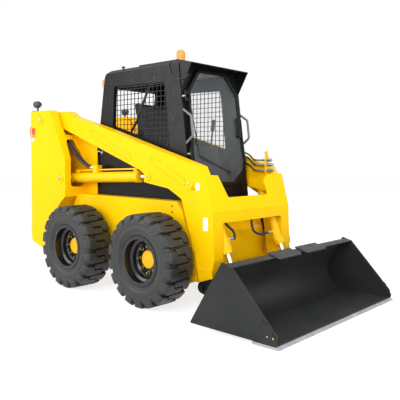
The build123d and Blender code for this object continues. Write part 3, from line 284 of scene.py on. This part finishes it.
FINISH_OF_SLOT = {
    "yellow_paint": "yellow", "black_paint": "cab", "bucket_black": "bucket",
    "edge_steel": "edge", "chrome": "chrome", "tyre": "rubber", "glass": "glass",
    "seat_vinyl": "vinyl", "dark_plastic": "plastic", "amber": "amber", "lamp": "lens",
    "grey_steel": "cast", "hose_rubber": "hose",
}
FINISH_OF_NODE = {
    "work_lamps": "lamp_case", "quick_couplers": "fitting", "grab_handles": "handle",
    "lift_barrel_left": "yellow_cast", "lift_barrel_right": "yellow_cast",
    "tilt_barrel_left": "yellow_cast", "tilt_barrel_right": "yellow_cast",
    "wheel_front_left": "rim", "wheel_front_right": "rim",
    "wheel_rear_left": "rim", "wheel_rear_right": "rim",
}
finishes = {}


# ---------------------------------------------------------------- modelling helpers
def start_fresh():
    """Object mode with nothing selected."""
    if bpy.context.object and bpy.context.object.mode != "OBJECT":
        bpy.ops.object.mode_set(mode="OBJECT")
    bpy.ops.object.select_all(action="DESELECT")


def apply_modifiers(piece):
    """Applies every modifier on the piece in turn."""
    start_fresh()
    piece.select_set(True)
    bpy.context.view_layer.objects.active = piece
    for modifier in list(piece.modifiers):
        bpy.ops.object.modifier_apply(modifier=modifier.name)


def settle(piece, name, body, finish_name, smooth=35):
    """Puts the piece's place in its mesh, shades it and sets its name, body and finish."""
    start_fresh()
    piece.select_set(True)
    bpy.context.view_layer.objects.active = piece
    bpy.ops.object.transform_apply(location=True, rotation=True, scale=True)
    if smooth:
        bpy.ops.object.shade_smooth_by_angle(angle=math.radians(smooth))
    piece.name = name
    piece.data.name = name
    piece.data.materials.clear()
    piece.data.materials.append(finishes[finish_name])
    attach(piece, body)
    return piece


def joined(pieces):
    """One object from several."""
    start_fresh()
    for piece in pieces:
        piece.select_set(True)
    bpy.context.view_layer.objects.active = pieces[0]
    if len(pieces) > 1:
        bpy.ops.object.join()
    return bpy.context.object


def bevelled(piece, width, segments=2, angle=30):
    """Rounds the piece's sharp edges."""
    modifier = piece.modifiers.new("Rounded", "BEVEL")
    modifier.width = width
    modifier.segments = segments
    modifier.limit_method = "ANGLE"
    modifier.angle_limit = math.radians(angle)
    apply_modifiers(piece)
    return piece


def facing(direction):
    """Euler turn that points a primitive's Z along the direction."""
    return Vector(direction).to_track_quat("Z", "Y").to_euler()


def rod(start, end, radius, vertices=20):
    """Plain cylinder from start to end."""
    start_fresh()
    start, end = Vector(start), Vector(end)
    bpy.ops.mesh.primitive_cylinder_add(
        vertices=vertices, radius=radius, depth=(end - start).length,
        location=(start + end) / 2, rotation=facing(end - start))
    return bpy.context.object


def slab(low, high):
    """Box between two corners."""
    start_fresh()
    low, high = Vector(low), Vector(high)
    bpy.ops.mesh.primitive_cube_add(size=1, location=(low + high) / 2)
    piece = bpy.context.object
    piece.scale = high - low
    bpy.ops.object.transform_apply(location=False, rotation=False, scale=True)
    return piece


def hex_bolt(place, direction, radius, height):
    """Bolt head with its washer, seated on place and standing along direction."""
    washer_share, washer_spread = 0.25, 1.35
    place, direction = Vector(place), Vector(direction).normalized()
    seat = place + direction * height * washer_share
    washer = rod(place, seat, radius * washer_spread, 20)
    head = rod(seat, place + direction * height, radius, 6)
    return [bevelled(washer, height * 0.08, 1), bevelled(head, height * 0.12, 1)]


def struck(node, origin, direction):
    """Where a line from origin meets the node, and the surface's direction there."""
    hit, place, normal, _ = NODES[node].ray_cast(Vector(origin), Vector(direction))
    if not hit:
        raise RuntimeError(f"nothing of {node} along {tuple(direction)} from {tuple(origin)}")
    return place, normal


def struck_from_side(node, sign, spot):
    """Where the node's outer face is at (x, z), seen from the right if the sign is 1."""
    return struck(node, (spot[0], -OUTSIDE * sign, spot[1]), (0, sign, 0))


def sides(both=True):
    """Name and sign of each side to make; tables of places are written for the right one."""
    return (("right", 1), ("left", -1)) if both else (("right", 1),)


def plate(place, normal, width, height, thick, turn, corner):
    """Thin plate with round corners lying on a face at place."""
    start_fresh()
    bpy.ops.mesh.primitive_plane_add(size=1)
    piece = bpy.context.object
    piece.scale = (width, height, 1)
    bpy.ops.object.transform_apply(location=False, rotation=False, scale=True)
    bpy.ops.object.mode_set(mode="EDIT")
    bpy.ops.mesh.select_all(action="SELECT")
    bpy.ops.mesh.bevel(offset=corner, segments=5, affect="VERTICES")
    bpy.ops.mesh.extrude_region_move(TRANSFORM_OT_translate={"value": (0, 0, thick)})
    bpy.ops.mesh.select_all(action="SELECT")
    bpy.ops.mesh.normals_make_consistent(inside=False)
    bpy.ops.object.mode_set(mode="OBJECT")
    across = Vector((0, 0, 1)).cross(normal).normalized()
    upward = normal.cross(across)
    frame_turn = Matrix((across, upward, normal)).transposed().to_4x4()
    spin = Matrix.Rotation(math.radians(turn), 4, "Z")
    piece.data.transform(Matrix.Translation(place) @ frame_turn @ spin)
    return bevelled(piece, min(0.0008, thick * 0.3), 1, 50)


def tube(points, radius, sides=12):
    """Bent rod through the points, with a ball at every bend."""
    pieces = [rod(a, b, radius, sides) for a, b in zip(points, points[1:])]
    for point in points[1:-1]:
        start_fresh()
        bpy.ops.mesh.primitive_uv_sphere_add(
            segments=sides, ring_count=8, radius=radius, location=point)
        pieces.append(bpy.context.object)
    return pieces


def linked_copy(piece, matrix):
    """Copy of the piece with its own mesh, moved by the matrix."""
    copy = piece.copy()
    copy.data = piece.data.copy()
    copy.data.transform(matrix)
    bpy.context.scene.collection.objects.link(copy)
    return copy


# ---------------------------------------------------------------- operators
class LOADER_OT_finishes(bpy.types.Operator):
    """Gives every CAD piece its finish"""
    bl_idname = "loader.finishes"
    bl_label = "Finish the Body"

    def execute(self, context):
        finishes.update(make_finishes(context.scene.loader_paint))
        for row in frame["record"]["subparts"]:
            name = row["node"]
            chosen = FINISH_OF_NODE.get(name, FINISH_OF_SLOT[row["material_slot"]])
            data = NODES[name].data
            data.materials.clear()
            data.materials.append(finishes[chosen])
        return {"FINISHED"}


LUG_ROWS = (
    # across the tyre, middle round it, half its length, top and foot below the tread
    (0.1478, 0.008, 0.036, -0.060, -0.078), (0.1472, 0.008, 0.041, -0.028, -0.070),
    (0.1400, 0.008, 0.046, -0.009, -0.060), (0.1280, 0.006, 0.051, -0.002, -0.045),
    (0.1080, 0.004, 0.055, 0.0, -0.040), (0.0880, -0.003, 0.056, 0.0, -0.040),
    (0.0720, 0.003, 0.055, 0.0, -0.040), (0.0600, -0.007, 0.046, 0.0, -0.040),
    (0.0500, -0.019, 0.031, 0.0, -0.040), (0.0300, -0.026, 0.0285, 0.0, -0.040),
    (0.0100, -0.018, 0.0285, 0.0, -0.040), (-0.0100, -0.024, 0.0280, 0.0, -0.040),
    (-0.0300, -0.016, 0.0270, 0.0, -0.040), (-0.0540, -0.023, 0.0240, -0.001, -0.040),
)
LUG_LEAN = 0.042      # how far the two rows' lugs stand back together at the middle
LUG_COLUMNS = 4
LUG_BLOCK_DEPTH = 0.05
LUG_FOOT_SPREAD = 1.06
SAME_ROW = 1e-5       # rounding allowed when a corner is matched with its row


class LOADER_OT_tyres(bpy.types.Operator):
    """Models one tyre with its lugs and copies it to the four wheels"""
    bl_idname = "loader.tyres"
    bl_label = "Fit the Tyres"

    def ring(self, profile, segments):
        """Shell turned about Y from a closed profile of (y, radius)."""
        start_fresh()
        first_y, first_radius = profile[0]
        bpy.ops.mesh.primitive_circle_add(
            vertices=segments, radius=first_radius, location=(0, first_y, 0),
            rotation=(math.pi / 2, 0, 0))
        shell = bpy.context.object
        bpy.ops.object.transform_apply(location=True, rotation=True, scale=True)
        bpy.ops.object.mode_set(mode="EDIT")
        bpy.ops.mesh.select_all(action="SELECT")
        y, radius = first_y, first_radius
        for next_y, next_radius in profile[1:] + profile[:1]:
            bpy.ops.mesh.extrude_edges_move(TRANSFORM_OT_translate={"value": (0, next_y - y, 0)})
            share = next_radius / radius
            bpy.ops.transform.resize(value=(share, 1, share), center_override=(0, 0, 0))
            y, radius = next_y, next_radius
        bpy.ops.mesh.select_all(action="SELECT")
        bpy.ops.mesh.remove_doubles(threshold=0.0001)
        bpy.ops.mesh.normals_make_consistent(inside=False)
        bpy.ops.object.mode_set(mode="OBJECT")
        return shell

    def lug_row(self, count, radius):
        """One row of lugs, laid out flat from one block and then bent round the tyre."""
        start_fresh()
        bpy.ops.mesh.primitive_grid_add(
            x_subdivisions=LUG_COLUMNS, y_subdivisions=len(LUG_ROWS) - 1, size=1)
        block = bpy.context.object
        across = sorted({round(v.co.y, 5) for v in block.data.vertices}, reverse=True)
        for vertex in block.data.vertices:
            y, centre, half, top, _ = LUG_ROWS[across.index(round(vertex.co.y, 5))]
            vertex.co = (centre + 2 * half * vertex.co.x, y, top)
        bpy.ops.object.mode_set(mode="EDIT")
        bpy.ops.mesh.select_all(action="SELECT")
        bpy.ops.mesh.extrude_region_move(
            TRANSFORM_OT_translate={"value": (0, 0, -LUG_BLOCK_DEPTH)})
        bpy.ops.transform.resize(value=(LUG_FOOT_SPREAD, 1, 1), center_override=(0, 0, 0))
        bpy.ops.mesh.select_all(action="SELECT")
        bpy.ops.mesh.normals_make_consistent(inside=False)
        bpy.ops.object.mode_set(mode="OBJECT")
        for vertex in block.data.vertices:
            rows = [row for row in LUG_ROWS if abs(row[0] - vertex.co.y) < SAME_ROW]
            if rows and abs(vertex.co.z - (rows[0][3] - LUG_BLOCK_DEPTH)) < SAME_ROW:
                vertex.co.z = rows[0][4]
        bevelled(block, 0.0045, 2, 35)
        pitch = 2 * math.pi * radius / count
        block.data.transform(Matrix.Rotation(math.radians(-90), 4, "X"))
        repeat = block.modifiers.new("Round the tyre", "ARRAY")
        repeat.count = count
        repeat.use_relative_offset = False
        repeat.use_constant_offset = True
        repeat.constant_offset_displace = (pitch, 0, 0)
        apply_modifiers(block)
        bend = block.modifiers.new("Bend", "SIMPLE_DEFORM")
        bend.deform_method = "BEND"
        bend.deform_axis = "Z"
        bend.angle = -block.dimensions.x / radius
        apply_modifiers(block)
        turn = Matrix.Translation((0, 0, radius)) @ Matrix.Rotation(math.radians(90), 4, "X")
        block.data.transform(turn)
        return block

    def execute(self, context):
        sizes = context.scene.loader_tyre
        low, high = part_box("tyre_front_left")
        outer = (high.z - low.z) / 2
        half = (high.y - low.y) / 2
        carcass = outer - sizes.lug_height
        bead = sizes.rim_radius
        side = [
            (0.1178, bead - 0.017), (0.1178, bead + 0.002), (0.1270, bead + 0.008),
            (0.1350, bead + 0.022), (0.1330, bead + 0.028), (0.1385, bead + 0.034),
            (0.1440, bead + 0.060), (0.1462, bead + 0.082), (0.1435, bead + 0.088),
            (0.1435, bead + 0.093), (half - 0.0005, bead + 0.098), (half - 0.0005, bead + 0.116),
            (0.1440, bead + 0.121), (0.1420, carcass - 0.034), (0.134, carcass - 0.016),
            (0.120, carcass - 0.005), (0.09, carcass - 0.001),
        ]
        inside = [(0.088, bead - 0.017), (0.122, bead + 0.06), (0.10, carcass - 0.03)]
        profile = (side + [(-y, r) for y, r in reversed(side)]
                   + [(-y, r) for y, r in inside] + list(reversed(inside)))
        shell = self.ring(profile, 96)
        near = self.lug_row(sizes.lugs_per_row, outer)
        half_turn = Matrix.Rotation(math.pi, 4, "Z")
        step = Matrix.Rotation(math.pi / sizes.lugs_per_row - LUG_LEAN / outer, 4, "Y")
        far = linked_copy(near, step @ half_turn)
        tyre = joined([shell, near, far])
        for name, centre in AXLES.items():
            flip = math.pi if name.endswith("right") else 0.0
            place = Matrix.Translation(centre) @ Matrix.Rotation(flip, 4, "Z")
            copy = linked_copy(tyre, place)
            settle(copy, f"tread_{name}", f"wheel_{name}_body", "rubber")
            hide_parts(f"tyre_{name}")
        bpy.data.objects.remove(tyre)
        return {"FINISHED"}


class LOADER_OT_wheel_trim(bpy.types.Operator):
    """Adds the hub caps and the wheel nuts"""
    bl_idname = "loader.wheel_trim"
    bl_label = "Fit the Wheel Trim"

    def execute(self, context):
        cap_radius, face = 0.0785, 0.018
        nut_count, nut_circle, nut_radius, nut_height = 8, 0.118, 0.0115, 0.014
        nut_foot, stud_foot, stud_end, stud_radius = 0.006, 0.018, 0.034, 0.0075
        for name, centre in AXLES.items():
            side = 1 if name.endswith("left") else -1
            body = f"wheel_{name}_body"
            out = Vector((0, side, 0))
            seat = centre + out * face
            cap = rod(seat - out * 0.009, seat + out * 0.002, cap_radius, 48)
            bevelled(cap, 0.003, 3)
            rim_line = rod(seat - out * 0.013, seat - out * 0.009, cap_radius + 0.003, 48)
            bevelled(rim_line, 0.0012, 2)
            settle(joined([cap, rim_line]), f"hub_cap_{name}", body, "hub")
            nuts = []
            for count in range(nut_count):
                angle = math.radians(360 / nut_count * count)
                spot = centre + Vector((math.cos(angle), 0, math.sin(angle))) * nut_circle
                nuts += hex_bolt(spot + out * nut_foot, out, nut_radius, nut_height)
                nuts.append(rod(spot + out * stud_foot, spot + out * stud_end, stud_radius, 16))
            settle(joined(nuts), f"wheel_nuts_{name}", body, "stud")
        return {"FINISHED"}


BOLT_SINK = 0.0005    # how far a washer is let into its face
BOLTS = (
    # piece, body, finish, node, radius, height, mirrored too, places (x, z)
    ("window_bolts", "chassis", "mirror_black", "cab_frame", 0.009, 0.008, True,
     ((-0.647, 2.067), (-0.730, 1.894), (-0.325, 2.080), (0.0, 2.080), (0.262, 1.911),
      (0.262, 1.678))),
    ("cab_mount_bolts", "chassis", "fitting", "cab_frame", 0.012, 0.010, True,
     ((-0.812, 1.368),)),
    ("hinge_bolts", "chassis", "fitting", "hinge_leaves", 0.006, 0.006, False,
     ((0.366, 1.881), (0.388, 1.881), (0.437, 1.355), (0.459, 1.355))),
    ("arm_bolts", "boom", "fitting", "arm_{side}", 0.011, 0.011, True, ((0.063, 1.141),)),
    ("arm_bolts", "boom", "fitting", "arm_{side}", 0.009, 0.009, True, ((0.583, 1.091),)),
    ("arm_pin_ends", "boom", "yellow_cast", "arm_{side}", 0.021, 0.020, True, ((0.638, 1.075),)),
    ("bucket_bolts", "bucket", "stud", "bucket_shell", 0.007, 0.0008, True,
     ((1.697, 0.081), (1.747, 0.078))),
    ("tower_bolts", "chassis", "fitting", "pivot_pins", 0.014, 0.012, True, ((-1.565, 1.726),)),
    ("tower_bolts", "chassis", "fitting", "pivot_pins", 0.013, 0.012, True, ((-1.184, 1.094),)),
    ("fender_bolts", "chassis", "mirror_black", "chain_case_{side}", 0.007, 0.005, True,
     ((0.366, 0.883), (0.366, 0.829))),
)
PLATES = (
    # piece, body, finish, node, place (x, z), width, height, thickness, turn, corner
    ("oval_plate", "boom", "white", "arm_{side}", (0.696, 1.073), 0.046, 0.066, 0.002, 0, 0.021),
    ("blank_plate", "boom", "white", "arm_{side}", (0.790, 0.755), 0.054, 0.112, 0.0015, 0, 0.006),
    ("pin_keeper", "boom", "yellow_cast", "arm_{side}", (0.650, 0.950),
     0.082, 0.018, 0.006, 14, 0.005),
    ("leg_plate", "boom", "yellow", "arm_{side}", (0.842, 0.352), 0.048, 0.150, 0.004, 12, 0.005),
)
PRESSED_PANELS = (
    # lower left end, upper right end, width
    ((-0.799, 1.577), (-0.212, 1.322), 0.064), ((0.141, 1.296), (0.526, 1.114), 0.064),
)
EDGE_RADIUS = 0.0048      # of the rolled edge round a pressed panel
EDGE_STAND = 0.004        # from the panel out to that edge's middle
EDGE_STEPS = 8            # of its half turn at either end
LEG_WELD = ((0.716, 0.392), (0.735, 0.366), (0.777, 0.354), (0.822, 0.368), (0.846, 0.399))
WELD_RADIUS = 0.0042
FERRULES = (
    # piece, body, hose ends (x, y, z), way back along the hose, crimp's start, end and
    # radius, nut's start, end and radius
    ("lift_ferrules", "lift_barrel", ((-0.8145, 0.528, 1.2130), (-0.8145, 0.494, 1.2130)),
     (-1, 0, -0.038), (0.012, 0.060, 0.0155), (0.0, 0.014, 0.0185)),
    ("tilt_ferrules", "tilt_barrel", ((0.8406, 0.304, 0.6113),),
     (0, -1, 0), (0.010, 0.040, 0.0145), (-0.012, 0.010, 0.0165)),
)


class LOADER_OT_hardware(bpy.types.Operator):
    """Seats the bolts, blank plates, pin ends, weld beads and hose fittings"""
    bl_idname = "loader.hardware"
    bl_label = "Fit the Hardware"

    def panel_edge(self, side, sign, start, end, width):
        """Rolled edge round one pressed panel of an arm."""
        along = (end - start).normalized()
        across = Vector((-along.y, along.x))
        half = width / 2 + EDGE_STAND
        spots = []
        for middle, outward, first in ((end, along, across), (start, -along, -across)):
            for step in range(EDGE_STEPS + 1):
                angle = math.pi * step / EDGE_STEPS
                spots.append(middle + (first * math.cos(angle) + outward * math.sin(angle)) * half)
        points = [struck_from_side(f"arm_{side}", sign, spot)[0] for spot in spots]
        return tube([*points, points[0], points[1]], EDGE_RADIUS, 10)

    def beads(self):
        """Rolled edges of the pressed panels and the weld low on each arm's leg."""
        edges, welds = [], []
        for side, sign in sides():
            for start, end, width in PRESSED_PANELS:
                edges += self.panel_edge(side, sign, Vector(start), Vector(end), width)
            points = [struck_from_side(f"arm_{side}", sign, spot)[0] for spot in LEG_WELD]
            welds += tube(points, WELD_RADIUS, 10)
        settle(joined(edges), "panel_edges", "boom", "yellow_cast")
        settle(joined(welds), "weld_beads", "boom", "yellow_cast")

    def fittings(self):
        """Crimped ferrules on the hoses' ends."""
        for side, sign in (("left", 1), ("right", -1)):
            for name, barrel, tips, back, crimp, nut in FERRULES:
                back = Vector((back[0], back[1] * sign, back[2]))
                ends = []
                for x, y, z in tips:
                    tip = Vector((x, y * sign, z))
                    for (start, end, radius), vertices, edge, segments in (
                            (crimp, 24, 0.002, 2), (nut, 6, 0.001, 1)):
                        piece = rod(tip + back * start, tip + back * end, radius, vertices)
                        ends.append(bevelled(piece, edge, segments))
                settle(joined(ends), f"{name}_{side}", f"{barrel}_{side}_body",
                       "fitting")

    def execute(self, context):
        groups = {}
        for name, body, shade, node, radius, height, both, spots in BOLTS:
            for spot in spots:
                for side, sign in sides(both):
                    place, normal = struck_from_side(node.format(side=side), sign, spot)
                    groups.setdefault((name, body, shade), []).extend(
                        hex_bolt(place - normal * BOLT_SINK, normal, radius, height))
        for name, body, shade, node, spot, width, height, thick, turn, corner in PLATES:
            for side, sign in sides():
                place, normal = struck_from_side(node.format(side=side), sign, spot)
                groups.setdefault((name, body, shade), []).append(
                    plate(place, normal, width, height, thick, turn * sign, corner))
        for (name, body, shade), pieces in groups.items():
            settle(joined(pieces), name, body, shade)
        self.beads()
        self.fittings()
        return {"FINISHED"}


class LOADER_OT_cab_trim(bpy.types.Operator):
    """Fits the roof lining, lap bar, wiper and roof knob of the cab"""
    bl_idname = "loader.cab_trim"
    bl_label = "Trim the Cab"

    def on_glass(self, y, z):
        """The door glass's outer face at (y, z), and the way it faces."""
        return struck("door_glass", (OUTSIDE, y, z), (-1, 0, 0))

    def off_glass(self, y, z):
        """Point just in front of the door glass."""
        wiper_stand = 0.012
        place, normal = self.on_glass(y, z)
        return place + normal * wiper_stand

    def execute(self, context):
        lining = bevelled(slab((-0.79, -0.375, 2.158), (0.22, 0.375, 2.170)), 0.004, 2)
        settle(joined([lining]), "cab_lining", "chassis", "panel")

        bars = []
        bar_half = 0.30
        bar_low, bar_bend, bar_top = (-0.50, 1.56), (-0.396, 1.689), (-0.172, 2.103)
        for y in (bar_half, -bar_half):
            bars += tube([(x, y, z) for x, z in (bar_low, bar_bend, bar_top)], 0.013, 16)
        bars += tube([(bar_top[0], y, bar_top[1]) for y in (bar_half, -bar_half)], 0.016, 16)
        settle(joined(bars), "lap_bar", "chassis", "mirror_black")

        wiper_pivot = (0.130, 1.181)
        arm = tube([self.off_glass(-0.325, 1.58), self.off_glass(-0.284, 1.335),
                    self.off_glass(*wiper_pivot)], 0.006, 12)
        pivot, normal = self.on_glass(*wiper_pivot)
        arm.append(bevelled(rod(pivot, pivot + normal * 0.020, 0.018, 24), 0.003))
        settle(joined(arm), "wiper_arm", "cab_door_body", "mirror_black")
        blade = tube([self.off_glass(-0.345, 1.800), self.off_glass(-0.322, 1.578)], 0.0055, 8)
        settle(joined(blade), "wiper_blade", "cab_door_body", "handle")

        above_roof, up = 3.0, Vector((0, 0, 1))
        top, _ = struck("cab_frame", (-0.52, -0.375, above_roof), -up)
        stem = rod(top - up * 0.001, top + up * 0.016, 0.009, 20)
        cap = bevelled(rod(top + up * 0.014, top + up * 0.030, 0.019, 28), 0.006, 3)
        settle(joined([stem, cap]), "roof_knob", "chassis", "mirror_black")
        return {"FINISHED"}


VOXEL = 0.011
SLIM = 0.006              # how far the cushion is drawn in before it is blown up
CUSHION_PRESSURE = 4.0
CLOTH_FRAMES = 20
SWELL_LIMIT = 0.016


class LOADER_OT_seat(bpy.types.Operator):
    """Blows up the seat cushion from its solid by cloth simulation"""
    bl_idname = "loader.seat"
    bl_label = "Upholster the Seat"

    def execute(self, context):
        cushion = bpy.data.objects.new("seat_pad", NODES["seat_cushions"].data.copy())
        bpy.context.scene.collection.objects.link(cushion)
        start_fresh()
        cushion.select_set(True)
        bpy.context.view_layer.objects.active = cushion
        voxels = cushion.modifiers.new("Even mesh", "REMESH")
        voxels.mode = "VOXEL"
        voxels.voxel_size = VOXEL
        relax = cushion.modifiers.new("Soft edges", "SMOOTH")
        relax.iterations = 8
        slim = cushion.modifiers.new("Slim", "DISPLACE")
        slim.strength = -SLIM
        slim.mid_level = 0.0
        apply_modifiers(cushion)
        before = [v.co.copy() for v in cushion.data.vertices]
        cloth = cushion.modifiers.new("Cloth", "CLOTH")
        cloth.settings.use_pressure = True
        cloth.settings.uniform_pressure_force = CUSHION_PRESSURE
        cloth.settings.effector_weights.gravity = 0.0
        cloth.settings.quality = 5
        scene = bpy.context.scene
        for number in range(1, CLOTH_FRAMES + 1):
            scene.frame_set(number)
        apply_modifiers(cushion)
        scene.frame_set(1)
        for vertex, old in zip(cushion.data.vertices, before):
            move = vertex.co - old
            if move.length > SWELL_LIMIT:
                vertex.co = old + move.normalized() * SWELL_LIMIT
        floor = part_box("seat_cushions")[0].z
        for vertex in cushion.data.vertices:
            vertex.co.z = max(vertex.co.z, floor)
        smooth = cushion.modifiers.new("Round", "SUBSURF")
        smooth.levels = 1
        apply_modifiers(cushion)
        settle(cushion, "seat_pad", "chassis", "vinyl", smooth=60)
        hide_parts("seat_cushions")
        return {"FINISHED"}


class LOADER_OT_stage(bpy.types.Operator):
    """Sets the camera, the lamps and the pale floor"""
    bl_idname = "loader.stage"
    bl_label = "Set the Studio"

    def backdrop_rays(self, tree):
        """One where a camera, glossy or transmission ray asks, and nought elsewhere."""
        path = tree.nodes.new("ShaderNodeLightPath")
        total = path.outputs["Is Camera Ray"]
        for name in ("Is Glossy Ray", "Is Transmission Ray"):
            add = tree.nodes.new("ShaderNodeMath")
            add.operation = "MAXIMUM"
            tree.links.new(total, add.inputs[0])
            tree.links.new(path.outputs[name], add.inputs[1])
            total = add.outputs[0]
        return total

    def two_looks(self, owner, kind, unseen, seen, share=None):
        """Owner's shader: one look for camera and mirror rays, another for the rest."""
        owner.use_nodes = True
        tree = owner.node_tree
        for node in list(tree.nodes):
            tree.nodes.remove(node)
        out = tree.nodes.new(kind)
        looks = [add_node(tree, look, **inputs) for look, inputs in (unseen, seen)]
        factor = self.backdrop_rays(tree)
        if share is not None:
            part = tree.nodes.new("ShaderNodeMath")
            part.operation = "MULTIPLY"
            part.inputs[1].default_value = share
            tree.links.new(factor, part.inputs[0])
            factor = part.outputs[0]
        mix = tree.nodes.new("ShaderNodeMixShader")
        tree.links.new(factor, mix.inputs[0])
        for look, socket in zip(looks, (mix.inputs[1], mix.inputs[2])):
            tree.links.new(look.outputs[0], socket)
        tree.links.new(mix.outputs[0], out.inputs["Surface"])

    def lamp(self, name, place, aim, size, power):
        """Square area lamp at place, turned to aim."""
        data = bpy.data.lights.new(name, "AREA")
        data.size = size
        data.energy = power
        lamp = bpy.data.objects.new(name, data)
        bpy.context.scene.collection.objects.link(lamp)
        lamp.location = place
        lamp.rotation_euler = (Vector(aim) - Vector(place)).to_track_quat("-Z", "Y").to_euler()

    def execute(self, context):
        studio = context.scene.loader_studio
        scene = context.scene
        scene.view_settings.view_transform = "Standard"
        back = Vector((
            math.sin(studio.azimuth) * math.cos(studio.elevation),
            -math.cos(studio.azimuth) * math.cos(studio.elevation),
            math.sin(studio.elevation)))
        right = Vector((math.cos(studio.azimuth), math.sin(studio.azimuth), 0))
        up = back.cross(right)
        turned_right = right * math.cos(studio.roll) + up * math.sin(studio.roll)
        turned_up = up * math.cos(studio.roll) - right * math.sin(studio.roll)
        data = bpy.data.cameras.new("Camera")
        data.lens = LENS_MM
        data.sensor_width = SENSOR_MM
        data.shift_x, data.shift_y = LENS_SHIFT
        camera = bpy.data.objects.new("Camera", data)
        scene.collection.objects.link(camera)
        turn = Matrix((turned_right, turned_up, back)).transposed().to_4x4()
        camera.matrix_world = Matrix.Translation(
            Vector(studio.target) + back * studio.distance) @ turn
        scene.camera = camera

        world = bpy.data.worlds.new("Studio")
        scene.world = world
        self.two_looks(
            world, "ShaderNodeOutputWorld",
            ("ShaderNodeBackground", {"Color": (0.94, 0.97, 1.0, 1), "Strength": 0.62}),
            ("ShaderNodeBackground", {"Color": (1, 1, 1, 1), "Strength": 1.0}))

        start_fresh()
        bpy.ops.mesh.primitive_plane_add(size=60, location=(0, 0, -0.001))
        floor = bpy.context.object
        floor.name = "studio_floor"
        pale = bpy.data.materials.new("Pale Floor")
        self.two_looks(
            pale, "ShaderNodeOutputMaterial",
            ("ShaderNodeBsdfDiffuse", {"Color": (0.86, 0.86, 0.86, 1)}),
            ("ShaderNodeEmission", {"Color": (1, 1, 1, 1), "Strength": 1.3}), share=0.6)
        floor.data.materials.append(pale)

        middle = (0.1, 0, 0.9)
        fill_share = 0.55
        for name, place, size, share in (
                ("key", (3.2, -5.8, 4.6), 4.5, 1.0), ("side", (-3.5, -5.5, 3.0), 4.0, fill_share),
                ("front", (7.0, -0.5, 2.6), 4.0, fill_share),
                ("top", (0, 0, 7.0), 5.0, fill_share)):
            self.lamp(name, place, middle, size, studio.key_power * share)
        return {"FINISHED"}


OPERATORS = (LOADER_OT_finishes, LOADER_OT_tyres, LOADER_OT_wheel_trim, LOADER_OT_hardware,
             LOADER_OT_cab_trim, LOADER_OT_seat, LOADER_OT_stage)


class LOADER_PT_panel(bpy.types.Panel):
    """Buttons for every group of pieces"""
    bl_idname = "LOADER_PT_panel"
    bl_label = "Skid Steer Loader"
    bl_space_type = "VIEW_3D"
    bl_region_type = "UI"
    bl_category = "Loader"

    def draw(self, context):
        for group in ("loader_paint", "loader_tyre", "loader_studio"):
            settings = getattr(context.scene, group)
            for name in settings.__annotations__:
                self.layout.prop(settings, name)
        for operator in OPERATORS:
            self.layout.operator(operator.bl_idname)


GROUPS = (("loader_paint", LoaderPaint), ("loader_tyre", LoaderTyre),
          ("loader_studio", LoaderStudio))


def register():
    for name, group in GROUPS:
        bpy.utils.register_class(group)
        setattr(bpy.types.Scene, name, bpy.props.PointerProperty(type=group))
    for item in (*OPERATORS, LOADER_PT_panel):
        bpy.utils.register_class(item)


def unregister():
    for item in reversed((*OPERATORS, LOADER_PT_panel)):
        bpy.utils.unregister_class(item)
    for name, group in reversed(GROUPS):
        delattr(bpy.types.Scene, name)
        bpy.utils.unregister_class(group)


def main():
    register()
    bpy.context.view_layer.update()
    for operator in OPERATORS:
        family, name = operator.bl_idname.split(".")
        getattr(getattr(bpy.ops, family), name)()
    start_fresh()


if __name__ == "__main__":
    main()
